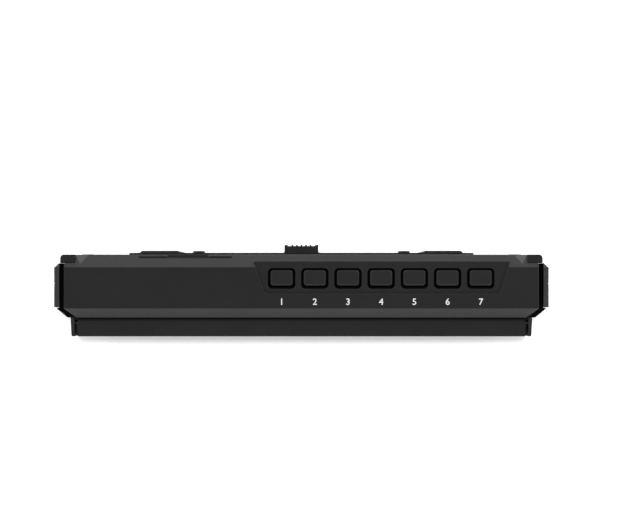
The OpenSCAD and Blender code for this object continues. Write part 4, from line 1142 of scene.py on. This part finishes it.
class MONITOR_OT_stage(PieceOperator):
    """Pale floor, soft light and the camera"""

    bl_idname = "monitor.stage"
    bl_label = "Stage"

    def execute(self, context):
        self.floor()
        self.world(context.scene)
        self.lamp()
        self.camera(context.scene)
        context.scene.view_settings.view_transform = "Standard"
        return {"FINISHED"}

    def floor(self):
        form = bmesh.new()
        bmesh.ops.create_grid(form, x_segments=2, y_segments=2, size=6.0)
        mesh = bpy.data.meshes.new("floor")
        form.to_mesh(mesh)
        form.free()
        floor = new_object("floor", mesh)
        floor.location.z = CAD_BOX[0].z - 0.05 * MM
        mesh.materials.append(self.floor_finish())

    def floor_finish(self):
        """White paper. Only rays that show it meet it, and only from above, so that the light from
        below and the view of the bottom edge stay free."""
        paper = Finish("floor_paper")
        paper.tree.nodes.remove(paper.tree.nodes["Principled BSDF"])
        tint = paper.mix(paper.noise(paper.place(), 900.0, 3.0), (0.97, 0.97, 0.97), (1, 1, 1))
        sheet = paper.add("AddShader", {
            0: paper.add("BsdfDiffuse", {"Color": tint})[0],
            1: paper.add("Emission", {"Strength": stage_settings().floor_glow})[0]})[0]
        path = paper.add("LightPath")
        seen = paper.math("MAXIMUM", path["Is Camera Ray"], paper.math(
            "MAXIMUM", path["Is Glossy Ray"], path["Is Transmission Ray"]))
        front = paper.math("SUBTRACT", 1.0, paper.add("NewGeometry")["Backfacing"])
        paper.show("Material Output", paper.times(seen, front),
                   paper.add("BsdfTransparent")[0], sheet)
        return paper.material

    def world(self, scene):
        """A pale room: bright round the horizon, darker overhead, white behind the object."""
        world = scene.world = bpy.data.worlds.new("pale_room")
        world.use_nodes = True
        nodes = Nodes(world.node_tree)
        direction = nodes.add("SeparateXYZ", {0: nodes.add("TexCoord")["Generated"]})
        height = nodes.ramp(direction["Z"], 0.35, 0.95)
        room = world.node_tree.nodes["Background"]
        nodes.feed(room.inputs["Color"], (1, 1, 1, 1))
        nodes.feed(room.inputs["Strength"], nodes.spread(
            height, stage_settings().horizon, stage_settings().zenith))
        behind = nodes.add("Background", {"Color": (1, 1, 1, 1)})[0]
        path = nodes.add("LightPath")
        seen = nodes.math("MAXIMUM", path["Is Camera Ray"], path["Is Transmission Ray"])
        nodes.show("World Output", seen, room.outputs[0], behind)

    def lamp(self):
        """A soft lamp overhead, a little behind the monitor, so that its shadow falls in front."""
        light = bpy.data.lights.new("soft_lamp", "AREA")
        light.shape = "DISK"
        light.size = 0.05
        light.energy = stage_settings().lamp_power
        lamp = new_object("soft_lamp", light)
        lamp.location = (0.0, 0.045, 1.4)
        lamp.visible_glossy = False
        lamp.rotation_mode = "QUATERNION"
        lamp.rotation_quaternion = (lamp.location - Vector((0, 0, 0.05))).to_track_quat("Z", "Y")

    def camera(self, scene):
        """Looks straight down on the top edge, with the back of the monitor up in the picture."""
        setting = stage_settings()
        data = bpy.data.cameras.new("camera")
        data.sensor_width = 36
        data.lens = data.sensor_width * setting.camera_height / setting.picture_width
        data.clip_start = 0.01
        camera = new_object("camera", data)
        data.shift_x = setting.picture_right
        data.shift_y = setting.picture_up
        camera.location = (0, setting.camera_back, CAD_BOX[1].z + setting.camera_height)
        scene.camera = camera


class MONITOR_PT_panel(bpy.types.Panel):
    """Lists the settings and the operators"""

    bl_idname = "MONITOR_PT_panel"
    bl_label = "Field monitor"
    bl_space_type = "VIEW_3D"
    bl_region_type = "UI"
    bl_category = "Monitor"

    def draw(self, context):
        for name, kind in SETTINGS.items():
            box = self.layout.box()
            box.label(text=name.removeprefix("monitor_").capitalize())
            for label in kind.__annotations__:
                box.prop(getattr(context.scene, name), label)
        for operator in OPERATORS:
            self.layout.operator(operator.bl_idname)


SETTINGS = {
    "monitor_sizes": MonitorSizes, "monitor_colours": MonitorColours,
    "monitor_stage": StageSettings,
}
OPERATORS = (
    MONITOR_OT_case, MONITOR_OT_sides, MONITOR_OT_keys, MONITOR_OT_marks, MONITOR_OT_sockets,
    MONITOR_OT_inserts, MONITOR_OT_back, MONITOR_OT_latch, MONITOR_OT_hood, MONITOR_OT_screen,
    MONITOR_OT_inside, MONITOR_OT_stage,
)


def register():
    for thing in (*SETTINGS.values(), *OPERATORS, MONITOR_PT_panel):
        bpy.utils.register_class(thing)
    for name, kind in SETTINGS.items():
        setattr(bpy.types.Scene, name, bpy.props.PointerProperty(type=kind))


def unregister():
    for name in SETTINGS:
        delattr(bpy.types.Scene, name)
    for thing in (MONITOR_PT_panel, *OPERATORS, *SETTINGS.values()):
        bpy.utils.unregister_class(thing)


def main():
    register()
    for operator in OPERATORS:
        getattr(bpy.ops.monitor, operator.bl_idname.removeprefix("monitor."))()


if __name__ == "__main__":
    main()
